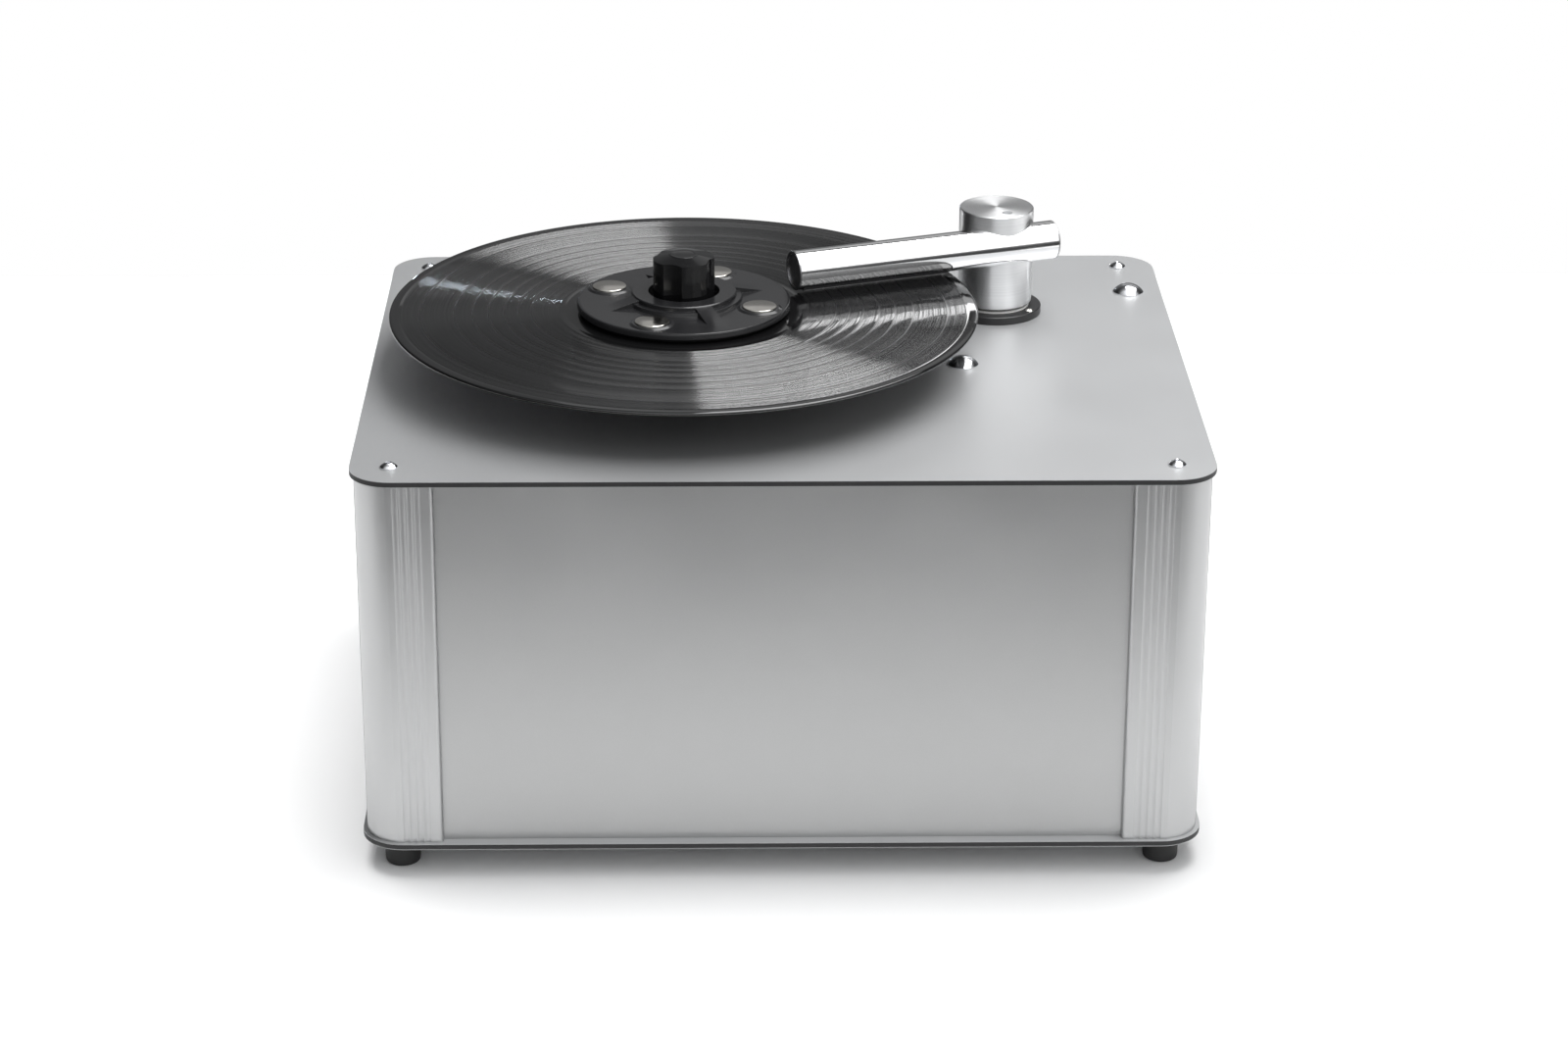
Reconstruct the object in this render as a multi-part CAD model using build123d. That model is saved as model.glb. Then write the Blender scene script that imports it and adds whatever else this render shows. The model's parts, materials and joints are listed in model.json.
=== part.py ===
"""Vacuum record cleaning machine with a clamped 12-inch record.

Frame: millimetres, +Z up, +X to the user's right, +Y to the back.
Origin: centre of the footprint, on the surface that the feet stand on.
"""
import os
from math import cos, radians, sin, sqrt
from build123d import *

# ---------------------------------------------------------------- driving dimensions
CASE_W = 418.0            # plates, left to right
CASE_D = 335.0            # plates, front to back
PLATE_T = 3.0             # composite sheet: skin, core, skin
SKIN_T = 0.3
PLATE_R = 21.0            # plan radius of the plates' corners
PLATE_OVERHANG = 2.15     # plates past the corner posts
FOOT_H = 15.0
FOOT_R = 9.0
FOOT_SCREW_BED = 6.0      # level of the screw head's seat inside the foot
WALL_H = 190.0            # posts and panels between the plates
POST_LEG = 38.9           # post face seen from the front or the side
POST_R = 19.0
POST_WALL = 2.2
POST_LIP_R = 2.0          # rounded lip beside the panel
POST_SCREW_INSET = 17.2   # corner screw from the post's outer faces
PANEL_T = 2.0
PANEL_RECESS = 4.0        # panel face behind the post face
PANEL_GRIP = 8.3          # panel edge held in the post's slot

SPINDLE_X, SPINDLE_Y = -48.6, 0.0
SPINDLE_R = 5.0
PIN_R = 3.6               # record pin at the spindle's top
RECORD_R = 150.8          # a 12-inch record is 301.6 mm across
RECORD_T = 2.0
RECORD_RISE = 28.4        # record's upper face over the top plate
PLATTER_R = 55.0

CLAMP_R = 54.8
CLAMP_EDGE_T = 4.3
CLAMP_RISE = 5.5          # clamp's flat over the record
HUB_R, HUB_STEP_R, POCKET_R = 26.8, 29.4, 18.3
MAGNET_R, MAGNET_RING_R = 8.8, 41.7
MAGNET_ANGLE, RIB_ANGLE = -22.5, 22.5
KNOB_R, KNOB_RIM_RISE, KNOB_TOP_RISE = 15.7, 27.3, 29.6
KNOB_CAP_R = 7.3

PILLAR_X, PILLAR_Y = 116.5, 76.7
PILLAR_R = 19.6
PILLAR_FOOT, PILLAR_TOP = 6.5, 58.0     # over the top plate
FLANGE_R, FLANGE_T = 24.8, 4.25
TUBE_R, TUBE_WALL = 10.25, 1.5
TUBE_RISE = 40.3          # tube axis over the top plate
TUBE_OFFSET = 12.25       # tube axis in front of the pillar axis
TUBE_ANGLE = 19.9         # tube's right end is turned to the back
TUBE_TIP, TUBE_TAIL = -120.0, 27.6      # ends along the tube, from the pillar
SLIDE_R, SLIDE_WALL = 13.0, 2.0

BOLTS = [(94.6, -6.9), (191.3, 106.2)]  # dome bolts that hang the waste tank
BOLT_HEAD_R, BOLT_HEAD_H = 8.25, 4.6

TANK_X0, TANK_X1, TANK_Y0, TANK_Y1 = 84.0, 200.0, -18.0, 118.0
TANK_FLOOR = 92.0
TANK_WALL = 3.0
TANK_FLANGE = 4.0
BLOWER_X, BLOWER_Y, BLOWER_R = 145.0, 42.0, 50.0
DUCT_X0, DUCT_X1, DUCT_Z0, DUCT_Z1 = 122.0, 158.0, 52.0, 76.0
DRAIN_X, DRAIN_Z = 104.0, 102.0
INLET_X, INLET_Z = -120.0, 66.0
SWITCH_Y = (-108.0, -68.0)
SWITCH_Z = 168.0
SWITCH_L, SWITCH_H = 30.0, 15.0
SWITCH_RIM, SWITCH_BODY_HALF = 1.5, 6.0
ROCKER_TILT = 8.0

FIT = 0.04                # radial running clearance
PRESSED = 0.01            # radial clearance of parts that are glued or pressed
GAP = 0.3                 # free clearance
OVER = 1.0                # a cutting tool's reach past the face that it cuts

# ---------------------------------------------------------------- derived levels and faces
Z_BASE = FOOT_H
Z_WALL = Z_BASE + PLATE_T
Z_TOP_UNDER = Z_WALL + WALL_H
Z_TOP = Z_TOP_UNDER + PLATE_T
Z_RECORD = Z_TOP + RECORD_RISE
POST_X = CASE_W / 2 - PLATE_OVERHANG
POST_Y = CASE_D / 2 - PLATE_OVERHANG
SCREW_X = POST_X - POST_SCREW_INSET
SCREW_Y = POST_Y - POST_SCREW_INSET
PANEL_X = POST_X - PANEL_RECESS
PANEL_Y = POST_Y - PANEL_RECESS
CORNERS = [(-1, -1), (1, -1), (1, 1), (-1, 1)]

# ---------------------------------------------------------------- screws and their holes
CORNER_HEAD_R, CORNER_HEAD_H = 4.3, 2.6
CORNER_SHANK_R, CORNER_HOLE_R, CORNER_GRIP = 2.05, 2.9, 14.0
DRIVE_HEAD_R, DRIVE_HEAD_H, DRIVE_SHANK_R = 3.6, 2.0, 1.9
FLANGE_HEAD_R, FLANGE_HEAD_H, FLANGE_SHANK_R = 2.2, 1.3, 1.45
BOLT_SHANK_R, BOLT_HOLE_R = 4.0, 4.3
PLATE_STUD_R, PLATE_STUD_HOLE_R = 2.2, 2.3
FLANGE_NECK_R = 17.0      # arm flange where it goes down through the plate
NECK_HOLE_R = FLANGE_NECK_R + 0.4
BEARING_R = 13.9          # spindle bearing where it goes up through the plate

os.makedirs("parts", exist_ok=True)


# ---------------------------------------------------------------- helpers
def cyl(r, z0, z1, x=0.0, y=0.0):
    """Upright cylinder between two levels."""
    return Pos(x, y, (z0 + z1) / 2) * Cylinder(r, z1 - z0)


def tube(r_out, r_in, z0, z1, x=0.0, y=0.0):
    """Upright tube between two levels."""
    return cyl(r_out, z0, z1, x, y) - cyl(r_in, z0 - OVER, z1 + OVER, x, y)


def box(x0, x1, y0, y1, z0, z1):
    """Box from its six faces."""
    size = (x1 - x0, y1 - y0, z1 - z0)
    return Pos((x0 + x1) / 2, (y0 + y1) / 2, (z0 + z1) / 2) * Box(*size)


def rod_y(r, y0, y1, x, z):
    """Cylinder that lies along Y."""
    return Pos(x, (y0 + y1) / 2, z) * Rot(90, 0, 0) * Cylinder(r, y1 - y0)


def rounded_slab(w, d, r, z0, z1):
    """Slab with rounded plan corners, centred on the origin."""
    return Pos(0, 0, z0) * extrude(RectangleRounded(w, d, r), z1 - z0)


def turned(points, x=0.0, y=0.0):
    """Solid of revolution about an upright axis, from (radius, level) points."""
    profile = make_face(Polyline([(r, 0, z) for r, z in points], close=True))
    return Pos(x, y, 0) * revolve(profile, Axis.Z)


def solids_of(shape):
    """Every solid of a part or of a list of parts."""
    if isinstance(shape, (list, tuple)):
        return [solid for item in shape for solid in solids_of(item)]
    return list(shape.solids())


def save(name, shape):
    """Write one node: one solid, or a group of separate solids."""
    solids = solids_of(shape)
    node = solids[0] if len(solids) == 1 else Compound(children=solids)
    node.label = name
    export_step(node, f"parts/{name}.step")


def dome_head(r, h, z, x, y):
    """Button head: a short rim with a spherical cap."""
    cap_h = 0.75 * h
    ball_r = (r * r + cap_h * cap_h) / (2 * cap_h)
    ball = Pos(x, y, z + h - ball_r) * Sphere(ball_r)
    return ball & cyl(r, z, z + h + OVER, x, y)


def hex_hole(width, z0, z1, x, y):
    """Hexagon socket, width across flats."""
    return Pos(x, y, z0) * extrude(RegularPolygon(width / sqrt(3), 6), z1 - z0)


def along_tube(s, across=0.0, up=0.0):
    """Point on the arm tube: s along its axis from the pillar, across to the front, up."""
    a = radians(TUBE_ANGLE)
    n = TUBE_OFFSET + across
    return (PILLAR_X + s * cos(a) + n * sin(a), PILLAR_Y + s * sin(a) - n * cos(a), Z_TOP + TUBE_RISE + up)


def lengthwise(shape, s):
    """Carry a shape modelled along +Z to the tube, starting at s. Its +X then points down."""
    x, y, z = along_tube(s)
    return Pos(x, y, z) * Rot(0, 0, TUBE_ANGLE) * Rot(0, 90, 0) * shape


# ---------------------------------------------------------------- case
def plate_holes(z0, z1, top):
    """Every hole through one plate."""
    holes = [cyl(CORNER_HOLE_R, z0, z1, sx * SCREW_X, sy * SCREW_Y) for sx, sy in CORNERS]
    if top:
        holes.append(cyl(BEARING_R + GAP, z0, z1, SPINDLE_X, SPINDLE_Y))
        holes.append(cyl(NECK_HOLE_R, z0, z1, PILLAR_X, PILLAR_Y))
        holes += [cyl(BOLT_HOLE_R, z0, z1, x, y) for x, y in BOLTS]
        holes += [cyl(DRIVE_SHANK_R + 0.4, z0, z1, x, y) for x, y in drive_screw_places()]
        holes += [cyl(FLANGE_SHANK_R + 0.15, z0, z1, x, y) for x, y in flange_screw_places()]
    else:
        holes += [cyl(PLATE_STUD_HOLE_R, z0, z1, x, y) for x, y in board_places()]
        holes += [cyl(PLATE_STUD_HOLE_R, z0, z1, x, y) for x, y in mount_places()]
    return holes


def make_plates():
    for name, z0, top in (("bottom_plate", Z_BASE, False), ("top_plate", Z_TOP_UNDER, True)):
        z1 = z0 + PLATE_T
        holes = plate_holes(z0 - OVER, z1 + OVER, top)
        core = rounded_slab(CASE_W, CASE_D, PLATE_R, z0 + SKIN_T, z1 - SKIN_T)
        lower = rounded_slab(CASE_W, CASE_D, PLATE_R, z0, z0 + SKIN_T)
        upper = rounded_slab(CASE_W, CASE_D, PLATE_R, z1 - SKIN_T, z1)
        for hole in holes:
            core, lower, upper = core - hole, lower - hole, upper - hole
        save(name + "_core", core)
        save(name + "_skins", [lower, upper])


SLOT_PLAY = 0.1           # between a panel's edge and its slot
FINGER_T = 1.9            # wall behind the panel's slot
BOSS_R, SCREW_BORE_R, WEB_T = 6.0, 2.1, 2.0
FLUTE_CRESTS = [5.7, 9.4, 12.9, 16.4, 19.9]     # ridges beside the lip, from the leg's end
FLUTE_DEPTH, CREST_HALF = 0.45, 0.3


def post_section():
    """Corner extrusion: outer corner at the origin, legs along +X and +Y."""
    leg, wall = POST_LEG, POST_WALL
    slot0, slot1 = PANEL_RECESS - SLOT_PLAY, PANEL_RECESS + PANEL_T + SLOT_PLAY
    slot_start = leg - PANEL_GRIP - SLOT_PLAY
    finger = slot1 + FINGER_T
    outer = Pos(leg, leg) * RectangleRounded(2 * leg, 2 * leg, POST_R)
    inner = Pos(leg, leg) * RectangleRounded(2 * leg - 2 * wall, 2 * leg - 2 * wall, POST_R - wall)
    quarter = Pos(leg / 2, leg / 2) * Rectangle(leg, leg)
    section = (outer - inner) & quarter
    boss = POST_SCREW_INSET
    section += Pos(boss, boss) * Circle(BOSS_R)
    section += Pos(boss, boss / 2) * Rectangle(WEB_T, boss)
    section += Pos(boss / 2, boss) * Rectangle(boss, WEB_T)
    section -= Pos(boss, boss) * Circle(SCREW_BORE_R)
    block = leg - slot_start + 1.6
    section += Pos(leg - block / 2, finger / 2) * Rectangle(block, finger)
    section += Pos(finger / 2, leg - block / 2) * Rectangle(finger, block)
    slot_mid, slot_w, cut = (slot0 + slot1) / 2, slot1 - slot0, 20.0
    section -= Pos(slot_start + cut / 2, slot_mid) * Rectangle(cut, slot_w)
    section -= Pos(slot_mid, slot_start + cut / 2) * Rectangle(slot_w, cut)
    for near, far in zip(FLUTE_CRESTS, FLUTE_CRESTS[1:]):
        middle = leg - (near + far) / 2
        half = (far - near) / 2 - CREST_HALF
        flute_r = (half * half + FLUTE_DEPTH * FLUTE_DEPTH) / (2 * FLUTE_DEPTH)
        section -= Pos(middle, FLUTE_DEPTH - flute_r) * Circle(flute_r)
        section -= Pos(FLUTE_DEPTH - flute_r, middle) * Circle(flute_r)
    lips = [v for v in section.vertices() if max(v.X, v.Y) > leg - 0.1 and min(v.X, v.Y) < 0.1]
    return fillet(lips, POST_LIP_R)


def make_posts():
    names = {(-1, -1): "front_left", (1, -1): "front_right", (1, 1): "rear_right", (-1, 1): "rear_left"}
    post = extrude(post_section(), WALL_H)
    turn = {(-1, -1): 0, (1, -1): 90, (1, 1): 180, (-1, 1): 270}
    for corner, name in names.items():
        sx, sy = corner
        save("post_" + name, Pos(sx * POST_X, sy * POST_Y, Z_WALL) * Rot(0, 0, turn[corner]) * post)


VENT_SLOTS, VENT_SLOT_H, DUCT_WALL = 5, 2.8, 2.0
DRAIN_HOLE_R = 7.4
INLET_HALF_W, INLET_LOW, INLET_HIGH = 15.0, 19.0, 12.0       # inlet body about its own centre


def make_panels():
    half_x = POST_X - POST_LEG + PANEL_GRIP
    half_y = POST_Y - POST_LEG + PANEL_GRIP
    z0, z1 = Z_WALL, Z_TOP_UNDER
    save("front_panel", box(-half_x, half_x, -PANEL_Y, -PANEL_Y + PANEL_T, z0, z1))
    save("left_panel", box(-PANEL_X, -PANEL_X + PANEL_T, -half_y, half_y, z0, z1))
    rear = box(-half_x, half_x, PANEL_Y - PANEL_T, PANEL_Y, z0, z1)
    y0, y1 = PANEL_Y - PANEL_T - OVER, PANEL_Y + OVER
    pitch = (DUCT_Z1 - DUCT_Z0 - 2 * DUCT_WALL) / VENT_SLOTS
    half_slot, side = VENT_SLOT_H / 2, 2 * DUCT_WALL
    for i in range(VENT_SLOTS):
        z = DUCT_Z0 + DUCT_WALL + pitch * (i + 0.5)
        rear -= box(DUCT_X0 + side, DUCT_X1 - side, y0, y1, z - half_slot, z + half_slot)
    rear -= rod_y(DRAIN_HOLE_R, y0, y1, DRAIN_X, DRAIN_Z)
    inlet_half = INLET_HALF_W + GAP
    inlet_z0, inlet_z1 = INLET_Z - INLET_LOW - GAP, INLET_Z + INLET_HIGH + GAP
    rear -= box(INLET_X - inlet_half, INLET_X + inlet_half, y0, y1, inlet_z0, inlet_z1)
    save("rear_panel", rear)
    right = box(PANEL_X - PANEL_T, PANEL_X, -half_y, half_y, z0, z1)
    x0, x1 = PANEL_X - PANEL_T - OVER, PANEL_X + OVER
    half, half_h = SWITCH_L / 2 - SWITCH_RIM + GAP, SWITCH_BODY_HALF + GAP
    for y in SWITCH_Y:
        right -= box(x0, x1, y - half, y + half, SWITCH_Z - half_h, SWITCH_Z + half_h)
    save("right_panel", right)


FOOT_SOLE = [(FOOT_R - 1.8, 0), (FOOT_R - 0.9, 0.4), (FOOT_R - 0.4, 1.2), (FOOT_R - 0.2, 2.4)]
CORNER_HEX, SOCKET_FLOOR = 2.5, 0.9       # socket's width, and its floor over the plate
FOOT_HEAD_R, FOOT_HEAD_H, FOOT_COUNTERBORE_R = 4.4, 3.0, 5.0


def make_feet():
    feet, screws, heads = [], [], []
    bed = FOOT_SCREW_BED
    head_low = bed - FOOT_HEAD_H
    for sx, sy in CORNERS:
        x, y = sx * SCREW_X, sy * SCREW_Y
        foot = Pos(x, y, 0) * turned([(0, 0)] + FOOT_SOLE + [(FOOT_R, FOOT_H), (0, FOOT_H)])
        foot -= cyl(CORNER_HOLE_R, -OVER, FOOT_H + OVER, x, y)
        foot -= cyl(FOOT_COUNTERBORE_R, -OVER, bed, x, y)
        feet.append(foot)
        screw = cyl(CORNER_SHANK_R, bed, Z_WALL + CORNER_GRIP, x, y)
        screw += cyl(FOOT_HEAD_R, head_low, bed, x, y)
        screws.append(screw - hex_hole(CORNER_HEX, head_low - 0.1, head_low + 1.8, x, y))
        head = dome_head(CORNER_HEAD_R, CORNER_HEAD_H, Z_TOP, x, y)
        head += cyl(CORNER_SHANK_R, Z_TOP_UNDER - CORNER_GRIP, Z_TOP, x, y)
        heads.append(head - hex_hole(CORNER_HEX, Z_TOP + SOCKET_FLOOR, Z_TOP + 3, x, y))
    save("feet", feet)
    save("case_screws", screws + heads)


# ---------------------------------------------------------------- turntable drive
def drive_screw_places():
    return [(SPINDLE_X + sx * 22.0, SPINDLE_Y + sy * 16.0) for sx, sy in CORNERS]


GEARBOX_TOP, GEARBOX_FLOOR = 152.0, 122.0
GEARBOX_HALF_W, GEARBOX_HALF_D, GEARBOX_CORNER_R, GEARBOX_WALL = 36.0, 26.0, 6.0, 3.0
GEARBOX_LID_T = 4.0
MOTOR_FLOOR, MOTOR_R, MOTOR_OFFSET, MOTOR_EDGE_R = 74.0, 25.0, 8.0, 3.0
MOTOR_HUB_R, MOTOR_HUB_H = 9.0, 4.0
SHAFT_R, SHAFT_UP, SHAFT_DOWN = 4.0, 6.0, 15.0      # output shaft past the gearbox's top
GEAR_R, GEAR_T = 14.0, 5.0
COUPLING_R, COUPLING_TOP = 8.5, 165.4
BUSH_R, BUSH_LOW, BUSH_L = 8.0, 166.0, 12.0
HOUSING_R, HOUSING_FOOT, FLANGE_FOOT, HOUSING_FLANGE_R = 12.5, 200.0, 202.0, 33.0
BEARING_RISE = 3.0        # spindle bearing over the top plate
THRUST_R, THRUST_T = 9.5, 1.0
STANDOFF_R, DRIVE_SCREW_LOW = 3.5, 192.0
PLATTER_T, MAT_T, PLATTER_HUB_R = 8.5, 1.5, 12.0
PIN_RISE, PIN_TIP_R, PIN_TIP_H = 21.0, 2.2, 2.0     # record pin over the record


def make_drive():
    x, y = SPINDLE_X, SPINDLE_Y
    bearing_top = Z_TOP + BEARING_RISE
    bore = BUSH_R + 0.02
    flange_r = HOUSING_FLANGE_R
    housing = turned([(bore, BUSH_LOW), (HOUSING_R, BUSH_LOW), (HOUSING_R, HOUSING_FOOT), (16, FLANGE_FOOT),
                      (flange_r, FLANGE_FOOT), (flange_r, Z_TOP_UNDER), (BEARING_R, Z_TOP_UNDER),
                      (BEARING_R, bearing_top), (bore, bearing_top)], x, y)
    screws, standoffs = [], []
    for px, py in drive_screw_places():
        housing -= cyl(DRIVE_SHANK_R + 0.4, FLANGE_FOOT - OVER, Z_TOP_UNDER + OVER, px, py)
        screw = dome_head(DRIVE_HEAD_R, DRIVE_HEAD_H, Z_TOP, px, py)
        screw += cyl(DRIVE_SHANK_R, DRIVE_SCREW_LOW, Z_TOP, px, py)
        screws.append(screw - hex_hole(2.0, Z_TOP + 0.7, Z_TOP + 3, px, py))
        threaded = cyl(DRIVE_SHANK_R + 0.05, DRIVE_SCREW_LOW - OVER, FLANGE_FOOT + OVER, px, py)
        standoffs.append(cyl(STANDOFF_R, GEARBOX_TOP, FLANGE_FOOT, px, py) - threaded)
    save("spindle_bearing", housing)
    save("drive_fixings", screws + standoffs)
    lower_bush = tube(BUSH_R, SPINDLE_R + FIT, BUSH_LOW, BUSH_LOW + BUSH_L, x, y)
    upper_bush = tube(BUSH_R, SPINDLE_R + FIT, bearing_top - BUSH_L, bearing_top, x, y)
    save("bearing_bushes", [lower_bush, upper_bush])
    save("thrust_washer", tube(THRUST_R, SPINDLE_R + GAP, bearing_top, bearing_top + THRUST_T, x, y))

    half_w, half_d, wall = GEARBOX_HALF_W, GEARBOX_HALF_D, GEARBOX_WALL
    gearbox = box(x - half_w, x + half_w, y - half_d, y + half_d, GEARBOX_FLOOR, GEARBOX_TOP)
    gearbox = fillet(gearbox.edges().filter_by(Axis.Z), GEARBOX_CORNER_R)
    inner_w, inner_d, lid_low = half_w - wall, half_d - wall, GEARBOX_TOP - GEARBOX_LID_T
    gearbox -= box(x - inner_w, x + inner_w, y - inner_d, y + inner_d, GEARBOX_FLOOR + wall, lid_low)
    gearbox -= cyl(SHAFT_R + FIT, lid_low - OVER, GEARBOX_TOP + OVER, x, y)
    save("gearbox_case", gearbox)
    motor_x = x + MOTOR_OFFSET
    motor = cyl(MOTOR_R, MOTOR_FLOOR, GEARBOX_FLOOR, motor_x, y)
    motor += cyl(MOTOR_HUB_R, MOTOR_FLOOR - MOTOR_HUB_H, MOTOR_FLOOR, motor_x, y)
    rims = motor.edges().filter_by(GeomType.CIRCLE).sort_by(Axis.Z)
    save("drive_motor", fillet(rims[2], MOTOR_EDGE_R))
    shaft_low, shaft_top = GEARBOX_TOP - SHAFT_DOWN, GEARBOX_TOP + SHAFT_UP
    last_gear = cyl(GEAR_R, shaft_low, shaft_low + GEAR_T, x, y)
    save("output_shaft", cyl(SHAFT_R, shaft_low, shaft_top, x, y) + last_gear)
    coupling = cyl(COUPLING_R, GEARBOX_TOP + 0.6, COUPLING_TOP, x, y)
    coupling -= cyl(SHAFT_R + PRESSED, GEARBOX_TOP, shaft_top, x, y)
    coupling -= cyl(SPINDLE_R + PRESSED, shaft_top, COUPLING_TOP + OVER, x, y)
    save("shaft_coupling", coupling)

    platter_top = Z_RECORD - RECORD_T - MAT_T
    platter_under = platter_top - PLATTER_T
    pin_top = Z_RECORD + PIN_RISE
    spindle = cyl(SPINDLE_R, shaft_top, platter_top, x, y) + cyl(PIN_R, platter_top, pin_top, x, y)
    spindle += Pos(x, y, pin_top + PIN_TIP_H / 2) * Cone(PIN_R, PIN_TIP_R, PIN_TIP_H)
    save("spindle", spindle)
    bore, hub_low = SPINDLE_R + PRESSED, bearing_top + THRUST_T
    save("platter", turned([(bore, hub_low), (PLATTER_HUB_R, hub_low), (PLATTER_HUB_R, platter_under),
                            (PLATTER_R - 1, platter_under), (PLATTER_R, platter_under + 1),
                            (PLATTER_R, platter_top), (bore, platter_top)], x, y))
    save("platter_mat", tube(PLATTER_R - 1, PIN_R + 0.5, platter_top, Z_RECORD - RECORD_T, x, y))


# ---------------------------------------------------------------- record and clamp
LABEL_R, LABEL_T = 50.0, 0.2
LABEL_STEP_R = 53.0       # outer edge of the thick ring round the label
BEAD_W, BEAD_SLOPE = 5.8, 1.0
GROOVE_DEPTH, RECORD_EDGE = 0.3, 0.6


def make_record():
    x, y = SPINDLE_X, SPINDLE_Y
    hole, bead_r = PIN_R + FIT, RECORD_R - BEAD_W
    face = [(hole, LABEL_T), (LABEL_R, LABEL_T), (LABEL_R, 0), (LABEL_STEP_R, 0),
            (LABEL_STEP_R + 1, GROOVE_DEPTH), (bead_r, GROOVE_DEPTH), (bead_r + BEAD_SLOPE, 0),
            (RECORD_R - RECORD_EDGE, 0), (RECORD_R, RECORD_EDGE)]
    lower = [(r, Z_RECORD - RECORD_T + dip) for r, dip in face]
    upper = [(r, Z_RECORD - dip) for r, dip in reversed(face)]
    save("record", turned(lower + upper, x, y))
    label_r, low, high = LABEL_R - 0.1, Z_RECORD - RECORD_T, Z_RECORD
    labels = [tube(label_r, hole, low, low + LABEL_T, x, y), tube(label_r, hole, high - LABEL_T, high, x, y)]
    save("record_labels", labels)


def ring_places(radius, first):
    """Four places, 90 degrees apart, round the spindle."""
    angles = [first + 90 * i for i in range(4)]
    return [(SPINDLE_X + radius * cos(radians(a)), SPINDLE_Y + radius * sin(radians(a)), a) for a in angles]


HUB_RISE, HUB_STEP_RISE, POCKET_DEPTH = 4.3, 1.8, 1.0       # over and under the clamp's flat
RIB_START_R, RIB_FLAT_R, RIB_END_R, RIB_RISE, RIB_W = 24.0, 26.6, 42.0, 3.6, 9.0
SEAT_W, SEAT_RISE, SEAT_SLOPE, SEAT_DEPTH = 2.6, 0.8, 1.4, 3.1
MAGNET_RISE, MAGNET_EDGE = 1.5, 0.5
SEAL_R, SEAL_HOLE_R = 51.0, 40.0


def make_clamp_disc():
    x, y = SPINDLE_X, SPINDLE_Y
    flat = Z_RECORD + CLAMP_RISE
    low, hub_top, pocket = flat - CLAMP_EDGE_T, flat + HUB_RISE, flat - POCKET_DEPTH
    disc = turned([(PIN_R + GAP, low), (CLAMP_R - 1.0, low), (CLAMP_R, low + 1.0), (CLAMP_R, flat - 1.4),
                   (CLAMP_R - 0.5, flat - 0.4), (CLAMP_R - 1.6, flat), (HUB_STEP_R + 0.6, flat),
                   (HUB_STEP_R, flat + HUB_STEP_RISE), (HUB_R + 0.2, flat + HUB_STEP_RISE + 0.2),
                   (HUB_R, hub_top - 0.5), (HUB_R - 0.5, hub_top), (POCKET_R, hub_top), (POCKET_R, pocket),
                   (PIN_R + GAP, pocket)], x, y)
    root = low + 2
    rib_top = flat + RIB_RISE
    ramp = make_face(Polyline([(RIB_START_R, 0, root), (RIB_START_R, 0, rib_top), (RIB_FLAT_R, 0, rib_top),
                               (RIB_END_R, 0, flat), (RIB_END_R, 0, root)], close=True))
    rib = Pos(0, RIB_W / 2, 0) * extrude(ramp, RIB_W, dir=(0, -1, 0))
    for _, _, angle in ring_places(0, RIB_ANGLE):
        disc += Pos(x, y, 0) * Rot(0, 0, angle) * rib
    magnets = []
    seat_r, seat_top, bed = MAGNET_R + SEAT_W, flat + SEAT_RISE, flat - SEAT_DEPTH
    magnet_top = flat + MAGNET_RISE
    inside = cyl(CLAMP_R - 0.5, low, hub_top, x, y)
    for mx, my, _ in ring_places(MAGNET_RING_R, MAGNET_ANGLE):
        seat = turned([(0, low + 1), (seat_r, low + 1), (seat_r, flat), (seat_r - SEAT_SLOPE, seat_top),
                       (0, seat_top)], mx, my)
        disc += seat & inside
        disc -= cyl(MAGNET_R + FIT, bed, hub_top, mx, my)
        magnets.append(turned([(0, bed), (MAGNET_R, bed), (MAGNET_R, magnet_top - MAGNET_EDGE),
                               (MAGNET_R - MAGNET_EDGE, magnet_top), (0, magnet_top)], mx, my))
    save("clamp_disc", disc)
    save("clamp_magnets", magnets)
    save("clamp_seal", tube(SEAL_R, SEAL_HOLE_R, Z_RECORD, low, x, y))


KNOB_GAP = 0.2            # knob's underside over the pocket's floor
KNOB_FLUTE_R, KNOB_FLUTE_DEPTH, KNOB_FLUTE_EDGE_R = 13.0, 1.9, 0.9
KNOB_BORE_RISE = 24.0     # top of the bore over the record
CAP_T, CAP_INSET = 1.5, 0.1


def make_knob():
    x, y = SPINDLE_X, SPINDLE_Y
    knob_low = Z_RECORD + CLAMP_RISE - POCKET_DEPTH + KNOB_GAP
    rim, top = Z_RECORD + KNOB_RIM_RISE, Z_RECORD + KNOB_TOP_RISE
    section = Sketch() + Circle(KNOB_R)
    for i in range(4):
        hollow = Pos(KNOB_R - KNOB_FLUTE_DEPTH + KNOB_FLUTE_R, 0) * Circle(KNOB_FLUTE_R)
        section -= Rot(0, 0, MAGNET_ANGLE + 90 * i) * hollow
    section = fillet(section.vertices(), KNOB_FLUTE_EDGE_R)
    crest = top - 0.4
    crown = turned([(0, knob_low), (KNOB_R, knob_low), (KNOB_R, rim), (KNOB_CAP_R, crest), (0, crest)], x, y)
    knob = crown & Pos(x, y, knob_low) * extrude(section, top - knob_low)
    knob -= cyl(PIN_R + FIT, knob_low - OVER, Z_RECORD + KNOB_BORE_RISE, x, y)
    cap_high = top - CAP_INSET
    cap_low = cap_high - CAP_T
    knob -= cyl(KNOB_CAP_R + 0.02, cap_low, top + OVER, x, y)
    save("clamp_knob", knob)
    save("knob_cap", cyl(KNOB_CAP_R, cap_low, cap_high, x, y))


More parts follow.
